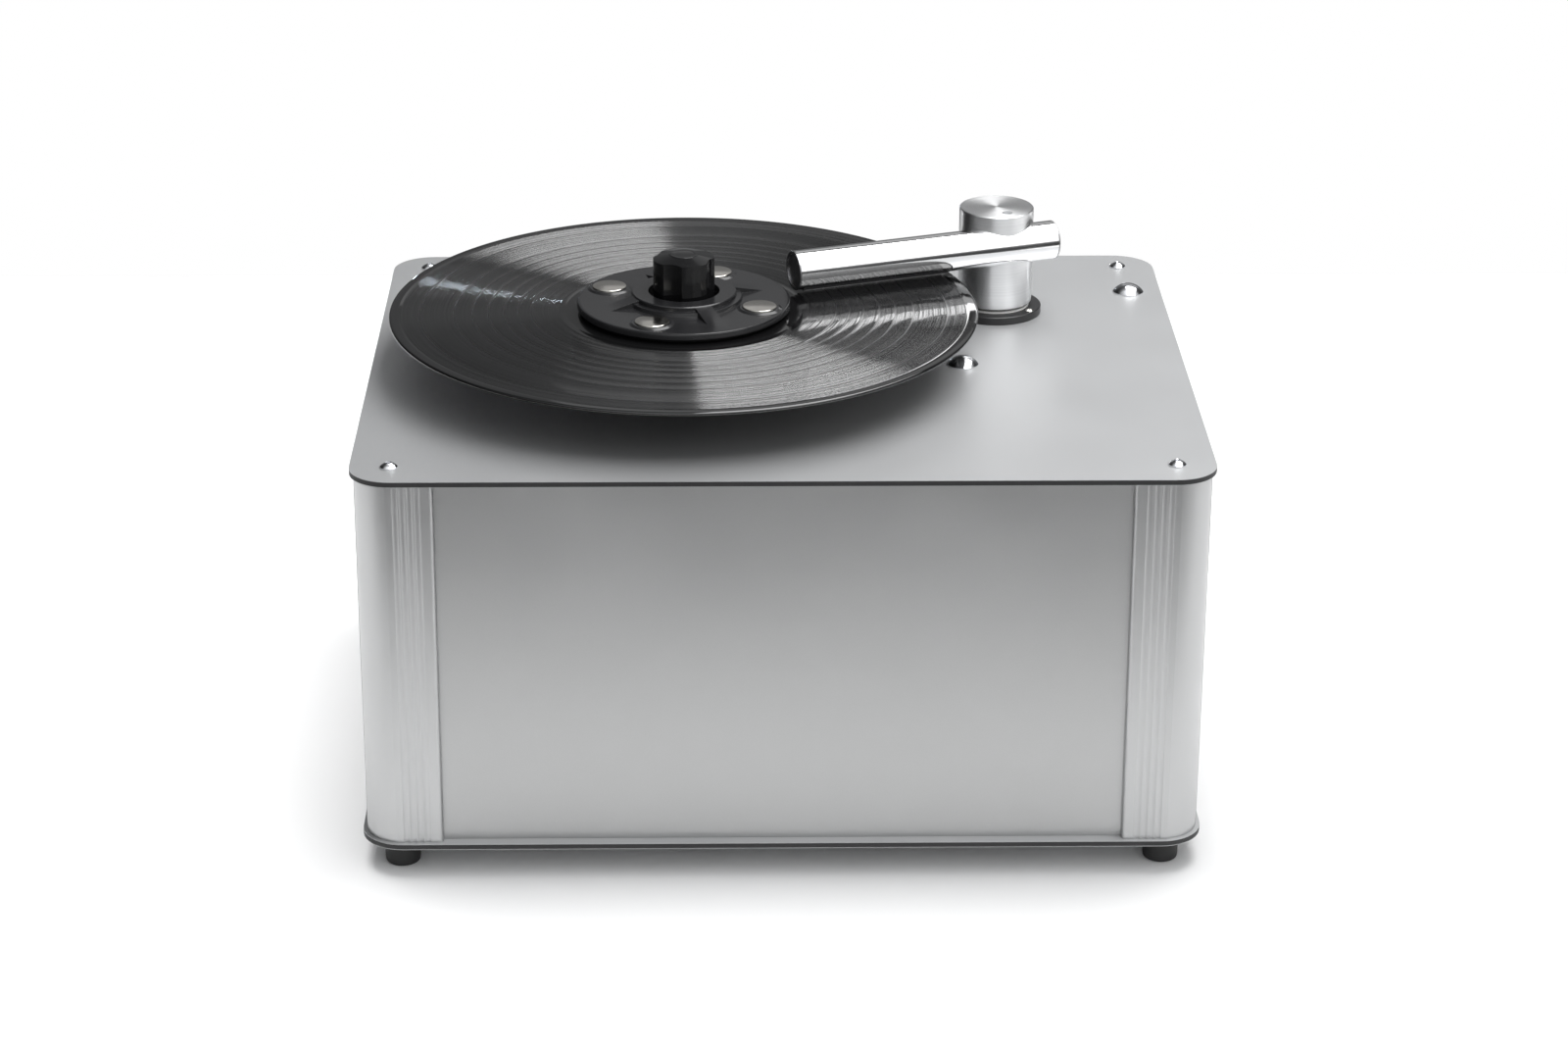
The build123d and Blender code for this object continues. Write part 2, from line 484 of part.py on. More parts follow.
# ---------------------------------------------------------------- suction arm
SPRING_R, SPRING_WIRE = 15.4, 0.7
SPRING_TURNS, SPRING_ROOM = 5, 14.0
FLANGE_SCREW_RING_R, FLANGE_SCREW_ANGLE = 22.3, -37.0
NECK_DROP, SLIDE_DROP = 8.0, 16.0         # flange neck and slide tube under the plate
THRUST_RING_R, THRUST_RING_T = 18.4, 1.0
COUNTERBORE_R = 17.4      # room for the spring in the pillar's foot
PORT_R, PORT_ACROSS = 5.5, -4.5           # air way from the tube down to the slide tube
SET_SCREW_R, SET_SCREW_DX, SET_SCREW_DY, SET_SCREW_SUNK = 2.7, 5.0, -10.8, 2.2
SET_SCREW_HEX = 2.5
SLOT_START, SLOT_END, SLOT_W = 5.0, 82.0, 2.4
CAP_LIP, CAP_STEP, CAP_DISH, CAP_PLUG = 1.0, 1.5, 0.7, 8.0
TIP_DOT_R, TIP_DOT_DOWN, TIP_DOT_SIDE = 0.8, 1.1, 7.2
VELVET_T = 0.8
VELVET_ARC = (8, 22, 36)  # degrees from the tube's lowest line


def flange_screw_places():
    r = FLANGE_SCREW_RING_R
    angles = [radians(FLANGE_SCREW_ANGLE + 120 * i) for i in range(3)]
    return [(PILLAR_X + r * cos(a), PILLAR_Y + r * sin(a)) for a in angles]


def make_arm_foot():
    x, y = PILLAR_X, PILLAR_Y
    flange_top = Z_TOP + FLANGE_T
    flange = cyl(FLANGE_R, Z_TOP, flange_top, x, y)
    flange = chamfer(flange.edges().filter_by(GeomType.CIRCLE).sort_by(Axis.Z)[-1], 0.4)
    flange += cyl(FLANGE_NECK_R, Z_TOP_UNDER - NECK_DROP, Z_TOP, x, y)
    flange -= cyl(SLIDE_R + FIT, Z_TOP_UNDER - NECK_DROP - OVER, flange_top + OVER, x, y)
    screws = []
    for sx, sy in flange_screw_places():
        flange -= cyl(FLANGE_SHANK_R + 0.1, Z_TOP - OVER, flange_top + OVER, sx, sy)
        screw = dome_head(FLANGE_HEAD_R, FLANGE_HEAD_H, flange_top, sx, sy)
        screw += cyl(FLANGE_SHANK_R, Z_TOP_UNDER - 3, flange_top, sx, sy)
        slot = box(sx - 2.5, sx + 2.5, sy - 0.3, sy + 0.3, flange_top + 0.7, flange_top + 2)
        screws.append(screw - slot)
    save("arm_flange", flange)
    save("arm_flange_screws", screws)
    washer_top = flange_top + THRUST_RING_T
    save("arm_thrust_washer", tube(THRUST_RING_R, SLIDE_R + GAP, flange_top, washer_top, x, y))
    coil_low = washer_top + SPRING_WIRE
    coil_h = Z_TOP + PILLAR_FOOT + SPRING_ROOM - SPRING_WIRE - coil_low
    helix = Helix(coil_h / SPRING_TURNS, coil_h, SPRING_R)
    wire = sweep(Plane(helix @ 0, z_dir=helix % 0) * Circle(SPRING_WIRE), path=helix)
    save("arm_lift_spring", Pos(x, y, coil_low) * wire)


def make_pillar():
    x, y = PILLAR_X, PILLAR_Y
    low, top = Z_TOP + PILLAR_FOOT, Z_TOP + PILLAR_TOP
    pillar = cyl(PILLAR_R, low, top, x, y)
    rims = pillar.edges().filter_by(GeomType.CIRCLE).sort_by(Axis.Z)
    pillar = chamfer([rims[0], rims[-1]], 0.5)
    pillar -= cyl(COUNTERBORE_R, low - OVER, low + SPRING_ROOM, x, y)
    slide_top = Z_TOP + TUBE_RISE - TUBE_R - 3.0
    pillar -= cyl(SLIDE_R + PRESSED, low - OVER, slide_top, x, y)
    port_x, port_y, axis_z = along_tube(0, PORT_ACROSS)
    pillar -= cyl(PORT_R, slide_top - OVER, axis_z, port_x, port_y)
    bore_l = 120.0
    pillar -= lengthwise(Pos(0, 0, bore_l / 2) * Cylinder(TUBE_R + 0.02, bore_l), -bore_l / 2)
    set_x, set_y = x + SET_SCREW_DX, y + SET_SCREW_DY
    pillar -= cyl(SET_SCREW_R + 0.05, axis_z, top + OVER, set_x, set_y)
    save("arm_pillar", pillar)
    set_top = top - SET_SCREW_SUNK
    set_screw = cyl(SET_SCREW_R, axis_z + TUBE_R + 0.2, set_top, set_x, set_y)
    save("arm_set_screw", set_screw - hex_hole(SET_SCREW_HEX, set_top - 2.5, set_top + OVER, set_x, set_y))
    save("arm_slide_tube", tube(SLIDE_R, SLIDE_R - SLIDE_WALL, Z_TOP_UNDER - SLIDE_DROP, slide_top, x, y))


def make_suction_tube():
    length = TUBE_TAIL - TUBE_TIP - 2 * CAP_LIP
    bore = TUBE_R - TUBE_WALL
    slot_l, slot_mid = SLOT_END - SLOT_START, (SLOT_START + SLOT_END) / 2
    pipe = Pos(0, 0, length / 2) * (Cylinder(TUBE_R, length) - Cylinder(bore, length + 2 * OVER))
    pipe -= Pos(TUBE_R, 0, slot_mid) * Box(6, SLOT_W, slot_l)
    pipe = lengthwise(pipe, TUBE_TIP + CAP_LIP)
    port_x, port_y, axis_z = along_tube(0, PORT_ACROSS)
    pipe -= cyl(PORT_R, axis_z - TUBE_R - 2, axis_z, port_x, port_y)
    save("arm_tube", pipe)
    plug_r, step_r = bore - PRESSED, TUBE_R - CAP_STEP
    cap = turned([(0, CAP_DISH), (step_r, CAP_DISH), (step_r, 0), (TUBE_R - 0.3, 0), (TUBE_R, 0.3),
                  (TUBE_R, CAP_LIP), (plug_r, CAP_LIP), (plug_r, CAP_PLUG), (0, CAP_PLUG)])
    dot = Pos(TIP_DOT_DOWN, TIP_DOT_SIDE, 0) * Cylinder(TIP_DOT_R, 6)
    tip_cap = lengthwise(cap - dot, TUBE_TIP)
    tail_cap = lengthwise(Rot(180, 0, 0) * cap, TUBE_TAIL)
    save("arm_end_caps", [tip_cap, tail_cap])

    pad_l, wedge_l, reach = slot_l + 3, slot_l + 5, 20
    ring = Cylinder(TUBE_R + VELVET_T, pad_l) - Cylinder(TUBE_R + 0.02, wedge_l)
    strips = []
    for side in (1, -1):
        rays = [(reach * cos(radians(a)), side * reach * sin(radians(a))) for a in VELVET_ARC]
        wedge = extrude(make_face(Polyline([(0, 0)] + rays, close=True)), wedge_l)
        strip = ring & Pos(0, 0, -wedge_l / 2) * wedge
        strips.append(lengthwise(Pos(0, 0, slot_mid) * strip, TUBE_TIP + CAP_LIP))
    save("velvet_strips", strips)


# ---------------------------------------------------------------- vacuum: tank, blower, exhaust
TANK_LID_T, TANK_RIM, TANK_CUT = 4.0, 4.0, 26.0      # rim: from the flange's edge to the wall
NUT_W, NUT_H, BOLT_TAIL = 13.0, 6.5, 4.0
PIPE_R, PIPE_BORE_R, PIPE_TOP, PIPE_CAP_T = 12.0, 10.2, 188.0, 2.0
PIPE_DROP, PIPE_COLLAR_R, PIPE_COLLAR_H = 6.0, 15.0, 3.0
WINDOW_HALF, WINDOW_LOW, WINDOW_HIGH = 4.0, 168.0, 183.0
DRAIN_R, DRAIN_BORE_R, DRAIN_FACE_R, DRAIN_FACE_T = 7.0, 5.5, 10.0, 2.0
DRAIN_COLLAR_R, DRAIN_COLLAR_T = 11.0, 2.5
PLUG_R, PLUG_T, PLUG_RIBS, PLUG_RIB_R, PLUG_RING_R, PLUG_L = 9.5, 3.4, 12, 1.1, 10.1, 9.0


def tank_plan(inset, cut):
    """Tank outline with the front-left and rear-right corners cut off."""
    x0, x1, y0, y1 = TANK_X0 + inset, TANK_X1 - inset, TANK_Y0 + inset, TANK_Y1 - inset
    points = [(x0, y0 + cut), (x0 + cut, y0), (x1, y0), (x1, y1 - cut), (x1 - cut, y1), (x0, y1)]
    return make_face(Polyline(points, close=True))


def prism(face, z0, z1):
    """Upright solid on a plan between two levels."""
    return Pos(0, 0, z0) * extrude(face, z1 - z0)


def make_tank():
    lid_low = Z_TOP_UNDER - TANK_LID_T
    flange_low = lid_low - TANK_FLANGE
    lid = box(TANK_X0, TANK_X1, TANK_Y0, TANK_Y1, lid_low, Z_TOP_UNDER)
    lid -= cyl(NECK_HOLE_R, lid_low - OVER, Z_TOP_UNDER + OVER, PILLAR_X, PILLAR_Y)
    body = box(TANK_X0, TANK_X1, TANK_Y0, TANK_Y1, flange_low, lid_low)
    body += prism(tank_plan(TANK_RIM, TANK_CUT), TANK_FLOOR, flange_low)
    hollow_floor = TANK_FLOOR + TANK_WALL
    body -= prism(tank_plan(TANK_RIM + TANK_WALL, TANK_CUT - 1.2), hollow_floor, lid_low + OVER)
    bolts, nuts = [], []
    nut_low = flange_low - NUT_H
    for x, y in BOLTS:
        lid -= cyl(BOLT_HOLE_R, lid_low - OVER, Z_TOP_UNDER + OVER, x, y)
        body -= cyl(BOLT_HOLE_R, flange_low - OVER, lid_low + OVER, x, y)
        shank = cyl(BOLT_SHANK_R, nut_low - BOLT_TAIL, Z_TOP, x, y)
        bolts.append(dome_head(BOLT_HEAD_R, BOLT_HEAD_H, Z_TOP, x, y) + shank)
        nut = hex_hole(NUT_W, nut_low, flange_low, x, y)
        nuts.append(nut - cyl(BOLT_SHANK_R + PRESSED, nut_low - OVER, flange_low + OVER, x, y))
    body -= cyl(PIPE_R + 0.2, TANK_FLOOR - OVER, hollow_floor + OVER, BLOWER_X, BLOWER_Y)
    body -= rod_y(DRAIN_BORE_R, TANK_Y1 - 18, TANK_Y1 + 2, DRAIN_X, DRAIN_Z)
    for sx, sy in flange_screw_places():
        lid -= cyl(FLANGE_SHANK_R + 0.15, lid_low - OVER, Z_TOP_UNDER + OVER, sx, sy)
    save("tank_lid", lid)
    save("waste_tank", body)
    save("tank_bolts", bolts + nuts)


def make_standpipe():
    """Air pipe from the tank's top down to the blower, with four windows under its cap."""
    x, y = BLOWER_X, BLOWER_Y
    cap_low = PIPE_TOP - PIPE_CAP_T
    collar = TANK_FLOOR + TANK_WALL
    pipe = tube(PIPE_R, PIPE_BORE_R, TANK_FLOOR - PIPE_DROP, cap_low, x, y)
    pipe += cyl(PIPE_R, cap_low, PIPE_TOP, x, y)
    pipe += tube(PIPE_COLLAR_R, PIPE_R - OVER, collar, collar + PIPE_COLLAR_H, x, y)
    pipe -= box(x - 20, x + 20, y - WINDOW_HALF, y + WINDOW_HALF, WINDOW_LOW, WINDOW_HIGH)
    pipe -= box(x - WINDOW_HALF, x + WINDOW_HALF, y - 20, y + 20, WINDOW_LOW, WINDOW_HIGH)
    save("standpipe", pipe)


def make_drain():
    x, z, start, face = DRAIN_X, DRAIN_Z, TANK_Y1 - TANK_RIM, PANEL_Y + DRAIN_FACE_T
    pipe = rod_y(DRAIN_R, start, PANEL_Y, x, z) + rod_y(DRAIN_FACE_R, PANEL_Y, face, x, z)
    pipe += rod_y(DRAIN_COLLAR_R, start, start + DRAIN_COLLAR_T, x, z)
    save("drain_pipe", pipe - rod_y(DRAIN_BORE_R, start - OVER, face + OVER, x, z))
    plug = rod_y(PLUG_R, face, face + PLUG_T, x, z)
    for i in range(PLUG_RIBS):
        a = radians(360 / PLUG_RIBS * i)
        groove_x, groove_z = x + PLUG_RING_R * cos(a), z + PLUG_RING_R * sin(a)
        plug -= rod_y(PLUG_RIB_R, face - OVER, face + PLUG_T + OVER, groove_x, groove_z)
    save("drain_plug", plug + rod_y(DRAIN_BORE_R - FIT, PANEL_Y - PLUG_L, face, x, z))


BLOWER_FLOOR, BLOWER_TOP, BLOWER_WALL = 30.0, 80.0, 2.5
BLOWER_NECK_R, BLOWER_MOTOR_R, BLOWER_MOTOR_TOP = 15.0, 24.0, 54.0
FAN_SHAFT_R, FAN_R, FAN_HUB_R, FAN_BLADES = 3.0, 42.0, 8.0, 9
FAN_LOW, FAN_DISC_T, FAN_HUB_H, BLADE_TOP, BLADE_HALF_T = 57.0, 2.0, 11.0, 73.0, 0.8
FAN_EYE_R, FAN_EYE_LOW = 12.0, 66.0
MOUNT_R, MOUNT_RING_R = 7.0, 38.0
DUCT_START = BLOWER_R + 6.0


def mount_places():
    angles = [radians(a) for a in (30, 150, 270)]
    return [(BLOWER_X + MOUNT_RING_R * cos(a), BLOWER_Y + MOUNT_RING_R * sin(a)) for a in angles]


def make_blower():
    x, y = BLOWER_X, BLOWER_Y
    wall = BLOWER_WALL
    neck_low = TANK_FLOOR - PIPE_DROP
    in_x0, in_x1 = DUCT_X0 + DUCT_WALL, DUCT_X1 - DUCT_WALL
    in_z0, in_z1 = DUCT_Z0 + DUCT_WALL, DUCT_Z1 - DUCT_WALL
    shell = cyl(BLOWER_R, BLOWER_FLOOR, BLOWER_TOP, x, y)
    shell += cyl(BLOWER_NECK_R, BLOWER_TOP, TANK_FLOOR - 1.5, x, y)
    shell += box(DUCT_X0, DUCT_X1, y, y + DUCT_START, DUCT_Z0, DUCT_Z1)
    shell -= cyl(BLOWER_R - wall, BLOWER_FLOOR + wall, BLOWER_TOP - wall, x, y)
    shell -= cyl(PIPE_R + PRESSED, neck_low, TANK_FLOOR, x, y)
    shell -= cyl(PIPE_BORE_R, BLOWER_TOP - 2 * wall, TANK_FLOOR, x, y)
    shell -= box(in_x0, in_x1, y + 30, y + DUCT_START + 2, in_z0, in_z1)
    save("blower_housing", shell)
    motor = cyl(BLOWER_MOTOR_R, BLOWER_FLOOR + wall, BLOWER_MOTOR_TOP, x, y)
    save("blower_motor", motor - cyl(FAN_SHAFT_R + FIT, BLOWER_FLOOR + 8, BLOWER_MOTOR_TOP + OVER, x, y))
    disc_top = FAN_LOW + FAN_DISC_T
    fan = cyl(FAN_R, FAN_LOW, disc_top, x, y)
    fan += cyl(FAN_HUB_R, FAN_LOW, FAN_LOW + FAN_HUB_H, x, y)
    blade = box(FAN_HUB_R + 1, FAN_R - 1, -BLADE_HALF_T, BLADE_HALF_T, disc_top - 1, BLADE_TOP)
    blade -= cyl(FAN_EYE_R, FAN_EYE_LOW, BLADE_TOP + OVER)
    for i in range(FAN_BLADES):
        fan += Pos(x, y, 0) * Rot(0, 0, 360 / FAN_BLADES * i) * blade
    fan += cyl(FAN_SHAFT_R, BLOWER_FLOOR + 9, disc_top - 1, x, y)
    save("impeller", fan)
    duct = box(DUCT_X0, DUCT_X1, y + DUCT_START, PANEL_Y - PANEL_T, DUCT_Z0, DUCT_Z1)
    save("exhaust_duct", duct - box(in_x0, in_x1, y, PANEL_Y, in_z0, in_z1))
    mounts = []
    for mx, my in mount_places():
        mounts.append(cyl(MOUNT_R, Z_WALL, BLOWER_FLOOR, mx, my) + cyl(PLATE_STUD_R, Z_BASE, Z_WALL, mx, my))
    save("blower_mounts", mounts)


# ---------------------------------------------------------------- electrics
BOARD_X, BOARD_Y, BOARD_W, BOARD_D = -130.0, -70.0, 110.0, 80.0
BOARD_RISE, BOARD_T, BOARD_SCREW_INSET, BOARD_SPACER_R, BOARD_PIN_R = 10.0, 1.6, 6.0, 4.0, 1.6
SWITCH_RIM_T, SWITCH_BODY_L, SWITCH_MOUTH_L, SWITCH_MOUTH_HALF = 2.0, 18.0, 12.0, 4.8
TERMINAL_PITCH, TERMINAL_L, TERMINAL_HALF_T, TERMINAL_HALF_H = 9.0, 8.0, 0.4, 2.0
ROCKER_AXLE_IN, ROCKER_R, ROCKER_T = 4.0, 7.6, 9.0
ROCKER_HOLLOW_R, ROCKER_HOLLOW_X = 11.2, 15.7


def board_places():
    half_w, half_d = BOARD_W / 2 - BOARD_SCREW_INSET, BOARD_D / 2 - BOARD_SCREW_INSET
    return [(BOARD_X + sx * half_w, BOARD_Y + sy * half_d) for sx, sy in CORNERS]


def switch_frame(y):
    """Rim, body and three terminals of one rocker switch."""
    face, z, half_l, half_h = PANEL_X, SWITCH_Z, SWITCH_L / 2, SWITCH_H / 2
    body_half = half_l - SWITCH_RIM
    body_end = face - SWITCH_BODY_L
    frame = box(face, face + SWITCH_RIM_T, y - half_l, y + half_l, z - half_h, z + half_h)
    frame += box(body_end, face + 1, y - body_half, y + body_half, z - SWITCH_BODY_HALF, z + SWITCH_BODY_HALF)
    mouth = body_half - SWITCH_RIM
    mouth_z0, mouth_z1 = z - SWITCH_MOUTH_HALF, z + SWITCH_MOUTH_HALF
    frame -= box(face - SWITCH_MOUTH_L, face + SWITCH_RIM_T + OVER, y - mouth, y + mouth, mouth_z0, mouth_z1)
    for i in (-1, 0, 1):
        middle = y + TERMINAL_PITCH * i
        y0, y1 = middle - TERMINAL_HALF_T, middle + TERMINAL_HALF_T
        frame += box(body_end - TERMINAL_L, body_end, y0, y1, z - TERMINAL_HALF_H, z + TERMINAL_HALF_H)
    return frame


def make_switches():
    rockers = (("vacuum_rocker", -ROCKER_TILT), ("turntable_rocker", 0.0))
    for y, (name, tilt) in zip(SWITCH_Y, rockers):
        wings = Pos(3.4, 0, 0) * Box(5.0, SWITCH_L - 9.0, ROCKER_T)
        hollow = Pos(ROCKER_HOLLOW_X, 0, 0) * Cylinder(ROCKER_HOLLOW_R, ROCKER_T + OVER)
        rocker = Cylinder(ROCKER_R, ROCKER_T) + wings - hollow
        save(name, Pos(PANEL_X - ROCKER_AXLE_IN, y, SWITCH_Z) * Rot(0, 0, tilt) * rocker)
    save("switch_frames", [switch_frame(y) for y in SWITCH_Y])


INLET_RIM, INLET_RIM_T, INLET_DEPTH = 5.0, 2.5, 26.0
SOCKET_HALF_W, SOCKET_Z0, SOCKET_Z1, SOCKET_DEPTH = 12.2, -7.0, 9.0, 16.0
DRAWER_HALF_W, DRAWER_Z0, DRAWER_Z1, DRAWER_DEPTH = 11.3, -18.0, -10.0, 18.0
PIN_PLACES = ((-7, -1), (0, 3), (7, -1))
PIN_TAIL, PIN_MOUTH = 32.0, 3.0


def make_inlet():
    x, z, face = INLET_X, INLET_Z, PANEL_Y
    rim_half, low, high = INLET_HALF_W + INLET_RIM, z - INLET_LOW, z + INLET_HIGH
    inlet = box(x - rim_half, x + rim_half, face, face + INLET_RIM_T, low - 3, high + 3)
    inlet = fillet(inlet.edges().filter_by(Axis.Y), 3)
    inlet += box(x - INLET_HALF_W, x + INLET_HALF_W, face - INLET_DEPTH, face + 1, low, high)
    half, room = SOCKET_HALF_W, DRAWER_HALF_W
    inlet -= box(x - half, x + half, face - SOCKET_DEPTH, face + 3, z + SOCKET_Z0, z + SOCKET_Z1)
    inlet -= box(x - room, x + room, face - DRAWER_DEPTH, face + 3, z + DRAWER_Z0, z + DRAWER_Z1)
    pins = []
    for dx, dz in PIN_PLACES:
        px, pz = x + dx, z + dz
        pins.append(box(px - 1, px + 1, face - PIN_TAIL, face - PIN_MOUTH, pz - 2, pz + 2))
    for pin in pins:
        inlet -= pin
    save("mains_inlet", [inlet] + pins)
    half = DRAWER_HALF_W - GAP
    z0, z1 = z + DRAWER_Z0 + GAP, z + DRAWER_Z1 - GAP
    front = face + 2.6
    drawer = box(x - half, x + half, face - DRAWER_DEPTH + 0.4, front, z0, z1)
    tray = half - 1.5
    drawer -= box(x - tray, x + tray, face - SOCKET_DEPTH, face + 0.6, z0 + 1.7, z1 + GAP)
    grip_z = z0 + 2.7
    save("fuse_drawer", drawer + box(x - 4, x + 4, front, front + 1.6, grip_z, grip_z + 1.6))


def make_board():
    low = Z_WALL + BOARD_RISE
    top = low + BOARD_T
    x, y, half_w, half_d = BOARD_X, BOARD_Y, BOARD_W / 2, BOARD_D / 2
    board = box(x - half_w, x + half_w, y - half_d, y + half_d, low, top)
    for bx, by in board_places():
        board -= cyl(BOARD_PIN_R + 0.1, low - OVER, top + OVER, bx, by)
    transformer_h, capacitor_h, relay_h = 28.0, 34.0, 12.0
    board += box(x - 30, x + 8, y - 16, y + 16, top, top + transformer_h)
    board += cyl(15, top, top + capacitor_h, x + 32, y + 4)
    board += box(x - 40, x + 20, y + 26, y + 36, top, top + relay_h)
    save("control_board", board)
    spacers = []
    for bx, by in board_places():
        spacer = cyl(BOARD_SPACER_R, Z_WALL, low, bx, by) + cyl(PLATE_STUD_R, Z_BASE, Z_WALL, bx, by)
        spacers.append(spacer + cyl(BOARD_PIN_R, low, low + 3, bx, by))
    save("board_spacers", spacers)


make_plates()
make_posts()
make_panels()
make_feet()
make_drive()
make_record()
make_clamp_disc()
make_knob()
make_arm_foot()
make_pillar()
make_suction_tube()
make_tank()
make_standpipe()
make_drain()
make_blower()
make_switches()
make_inlet()
make_board()
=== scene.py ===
# %% [markdown]
# # A vacuum record cleaning machine
#
# The real machine washes long-playing records. A turntable turns the clamped record, a
# brush spreads cleaning fluid, and a hollow arm with two velvet lips sucks the fluid off
# again. The case hides a geared motor, a blower and a waste tank.
#
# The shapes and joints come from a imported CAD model, which is loaded as a fixed frame.
# Blender's work here is the finish: rounded edges that catch the light, small repeated
# parts, and procedural materials. Every length is in metres, in the frame of the CAD model.

import json
import math

import bmesh
import bpy
from mathutils import Matrix, Vector

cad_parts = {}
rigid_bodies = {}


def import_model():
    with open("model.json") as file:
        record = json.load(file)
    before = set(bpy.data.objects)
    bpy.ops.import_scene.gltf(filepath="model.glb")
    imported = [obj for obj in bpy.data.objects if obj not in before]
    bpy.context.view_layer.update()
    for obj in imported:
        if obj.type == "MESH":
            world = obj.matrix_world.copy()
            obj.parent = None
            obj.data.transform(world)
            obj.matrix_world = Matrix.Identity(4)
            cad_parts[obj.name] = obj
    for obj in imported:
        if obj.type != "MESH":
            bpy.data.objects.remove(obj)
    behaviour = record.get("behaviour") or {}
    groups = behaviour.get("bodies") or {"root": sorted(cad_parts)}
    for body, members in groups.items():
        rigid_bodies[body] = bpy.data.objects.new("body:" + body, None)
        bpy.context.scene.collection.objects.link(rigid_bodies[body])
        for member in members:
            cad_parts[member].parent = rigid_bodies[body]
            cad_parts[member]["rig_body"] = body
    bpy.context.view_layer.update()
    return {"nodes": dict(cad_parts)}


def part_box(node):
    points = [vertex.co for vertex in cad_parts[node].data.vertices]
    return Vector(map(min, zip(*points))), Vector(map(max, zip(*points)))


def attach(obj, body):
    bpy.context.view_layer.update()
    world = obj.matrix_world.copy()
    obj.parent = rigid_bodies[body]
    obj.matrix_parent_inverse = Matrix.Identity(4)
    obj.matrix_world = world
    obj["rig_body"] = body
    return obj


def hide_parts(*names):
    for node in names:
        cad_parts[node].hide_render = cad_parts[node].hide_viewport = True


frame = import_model()
nodes = frame["nodes"]

# %% [markdown]
# ## Measures used again and again
#
# The spindle and the pillar are the two upright axes, and most turned parts are centred on
# one of them. Three levels matter: the table, the top plate and the record's upper face.
# Lengths are typed in millimetres, because that is how a workshop drawing gives them, and
# `MM` turns them into metres.

# %% Shared measures
MM = 0.001
low, high = (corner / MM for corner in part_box("record"))
SPINDLE = (round((low.x + high.x) / 2, 2), round((low.y + high.y) / 2, 2))
RECORD_R = round((high.x - low.x) / 2, 2)
PILLAR = (116.5, 76.7)
TOP = 211.0  # the top plate's upper face
RECORD_TOP = 239.4  # the record's label and rim
CLAMP_FLAT = RECORD_TOP + 5.5  # the flat of the clamp's disc
CORNER_X, CORNER_Y = 189.65, 148.15  # from the middle of the case to a corner screw
ARM_ANGLE = math.radians(19.9)
print("spindle at", SPINDLE, "mm, record", RECORD_R, "mm in radius, its face", round(high.z, 2), "mm up")

# %% [markdown]
# ## Camera
#
# A long lens from a good way off keeps the upright edges nearly parallel, as in a catalogue
# picture. The camera looks down by a little more than 22 degrees, so the top plate shows
# its full depth. Building its matrix from a few named turns is clearer than tracking a
# target, and it leaves no constraint behind.

# %% Camera
LENS_PIXELS, FRAME_PIXELS, SENSOR = 3958.15, 1600, 36.0
YAW, PITCH, ROLL = (math.radians(a) for a in (1.129, 22.524, 0.231))
eye = Vector((-33.94, -1881.19, 900.23)) * MM
camera_data = bpy.data.cameras.new("studio_camera")
camera_data.sensor_width = SENSOR
camera_data.lens = LENS_PIXELS * SENSOR / FRAME_PIXELS
camera_data.clip_start, camera_data.clip_end = 0.01, 50
camera = bpy.data.objects.new("studio_camera", camera_data)
bpy.context.scene.collection.objects.link(camera)
stand = Matrix.Translation(eye)
for angle, axis in ((-YAW, "Z"), (math.pi / 2 - PITCH, "X"), (ROLL, "Z")):
    stand = stand @ Matrix.Rotation(angle, 4, axis)
camera.matrix_world = stand
bpy.context.scene.camera = camera
print("lens", round(camera_data.lens, 1), "mm, standing", round(eye.length, 2), "m away")

# %% [markdown]
# ## Floor and studio
#
# The machine stands on a pale table. One big soft box hangs overhead, off to the right, a
# second stands in front at the right, and a weak one is behind. A tiny bluish lamp far
# behind draws the thin streak across the grooves. Two more lamps reach only the table, so
# it can be nearly white while the machine is not. Polished metal shows what surrounds it,
# so the room is a smooth run of tones: dim below the horizon in front, bright above, and
# dark behind and at the sides. A ray that leaves the camera straight out sees plain white.

# %% Helpers that add a node and fill in its inputs
def put(tree, kind, inputs=None, **settings):
    """Adds a node. Inputs go by name or number, as values or as sockets to link."""
    made = tree.nodes.new(kind)
    for key, value in settings.items():
        setattr(made, key, value)
    for key, value in (inputs or {}).items():
        if isinstance(value, bpy.types.NodeSocket):
            tree.links.new(value, made.inputs[key])
        else:
            made.inputs[key].default_value = value
    return made


def result(tree, kind, inputs=None, **settings):
    """Adds a node and gives its first output."""
    return put(tree, kind, inputs, **settings).outputs[0]


def calc(tree, operation, *values):
    """A Math node's result."""
    return result(tree, "ShaderNodeMath", dict(enumerate(values)), operation=operation)


def vector(tree, operation, *values):
    """A Vector Math node's result, as a vector."""
    return result(tree, "ShaderNodeVectorMath", dict(enumerate(values)), operation=operation)


# %% Room light
# (degrees, tone), from below the horizon in front, over the top, to the horizon behind
ROOM_TONES = (
    (-30, 0.22), (-15, 0.15), (-5, 0.12), (1, 0.25), (9, 0.6), (14, 0.95), (40, 1.0), (60, 1.2),
    (88, 1.2), (98, 0.5), (113, 0.15), (130, 0.08), (145, 0.14), (153, 0.19), (168, 0.19), (180, 0.1))
# (sideways share of a direction, tone), from straight left to straight right
SIDE_TONES = ((-1.0, 0.1), (-0.7, 0.15), (-0.35, 0.7), (-0.15, 1.0), (0.35, 1.0), (0.7, 0.4), (1.0, 0.35))


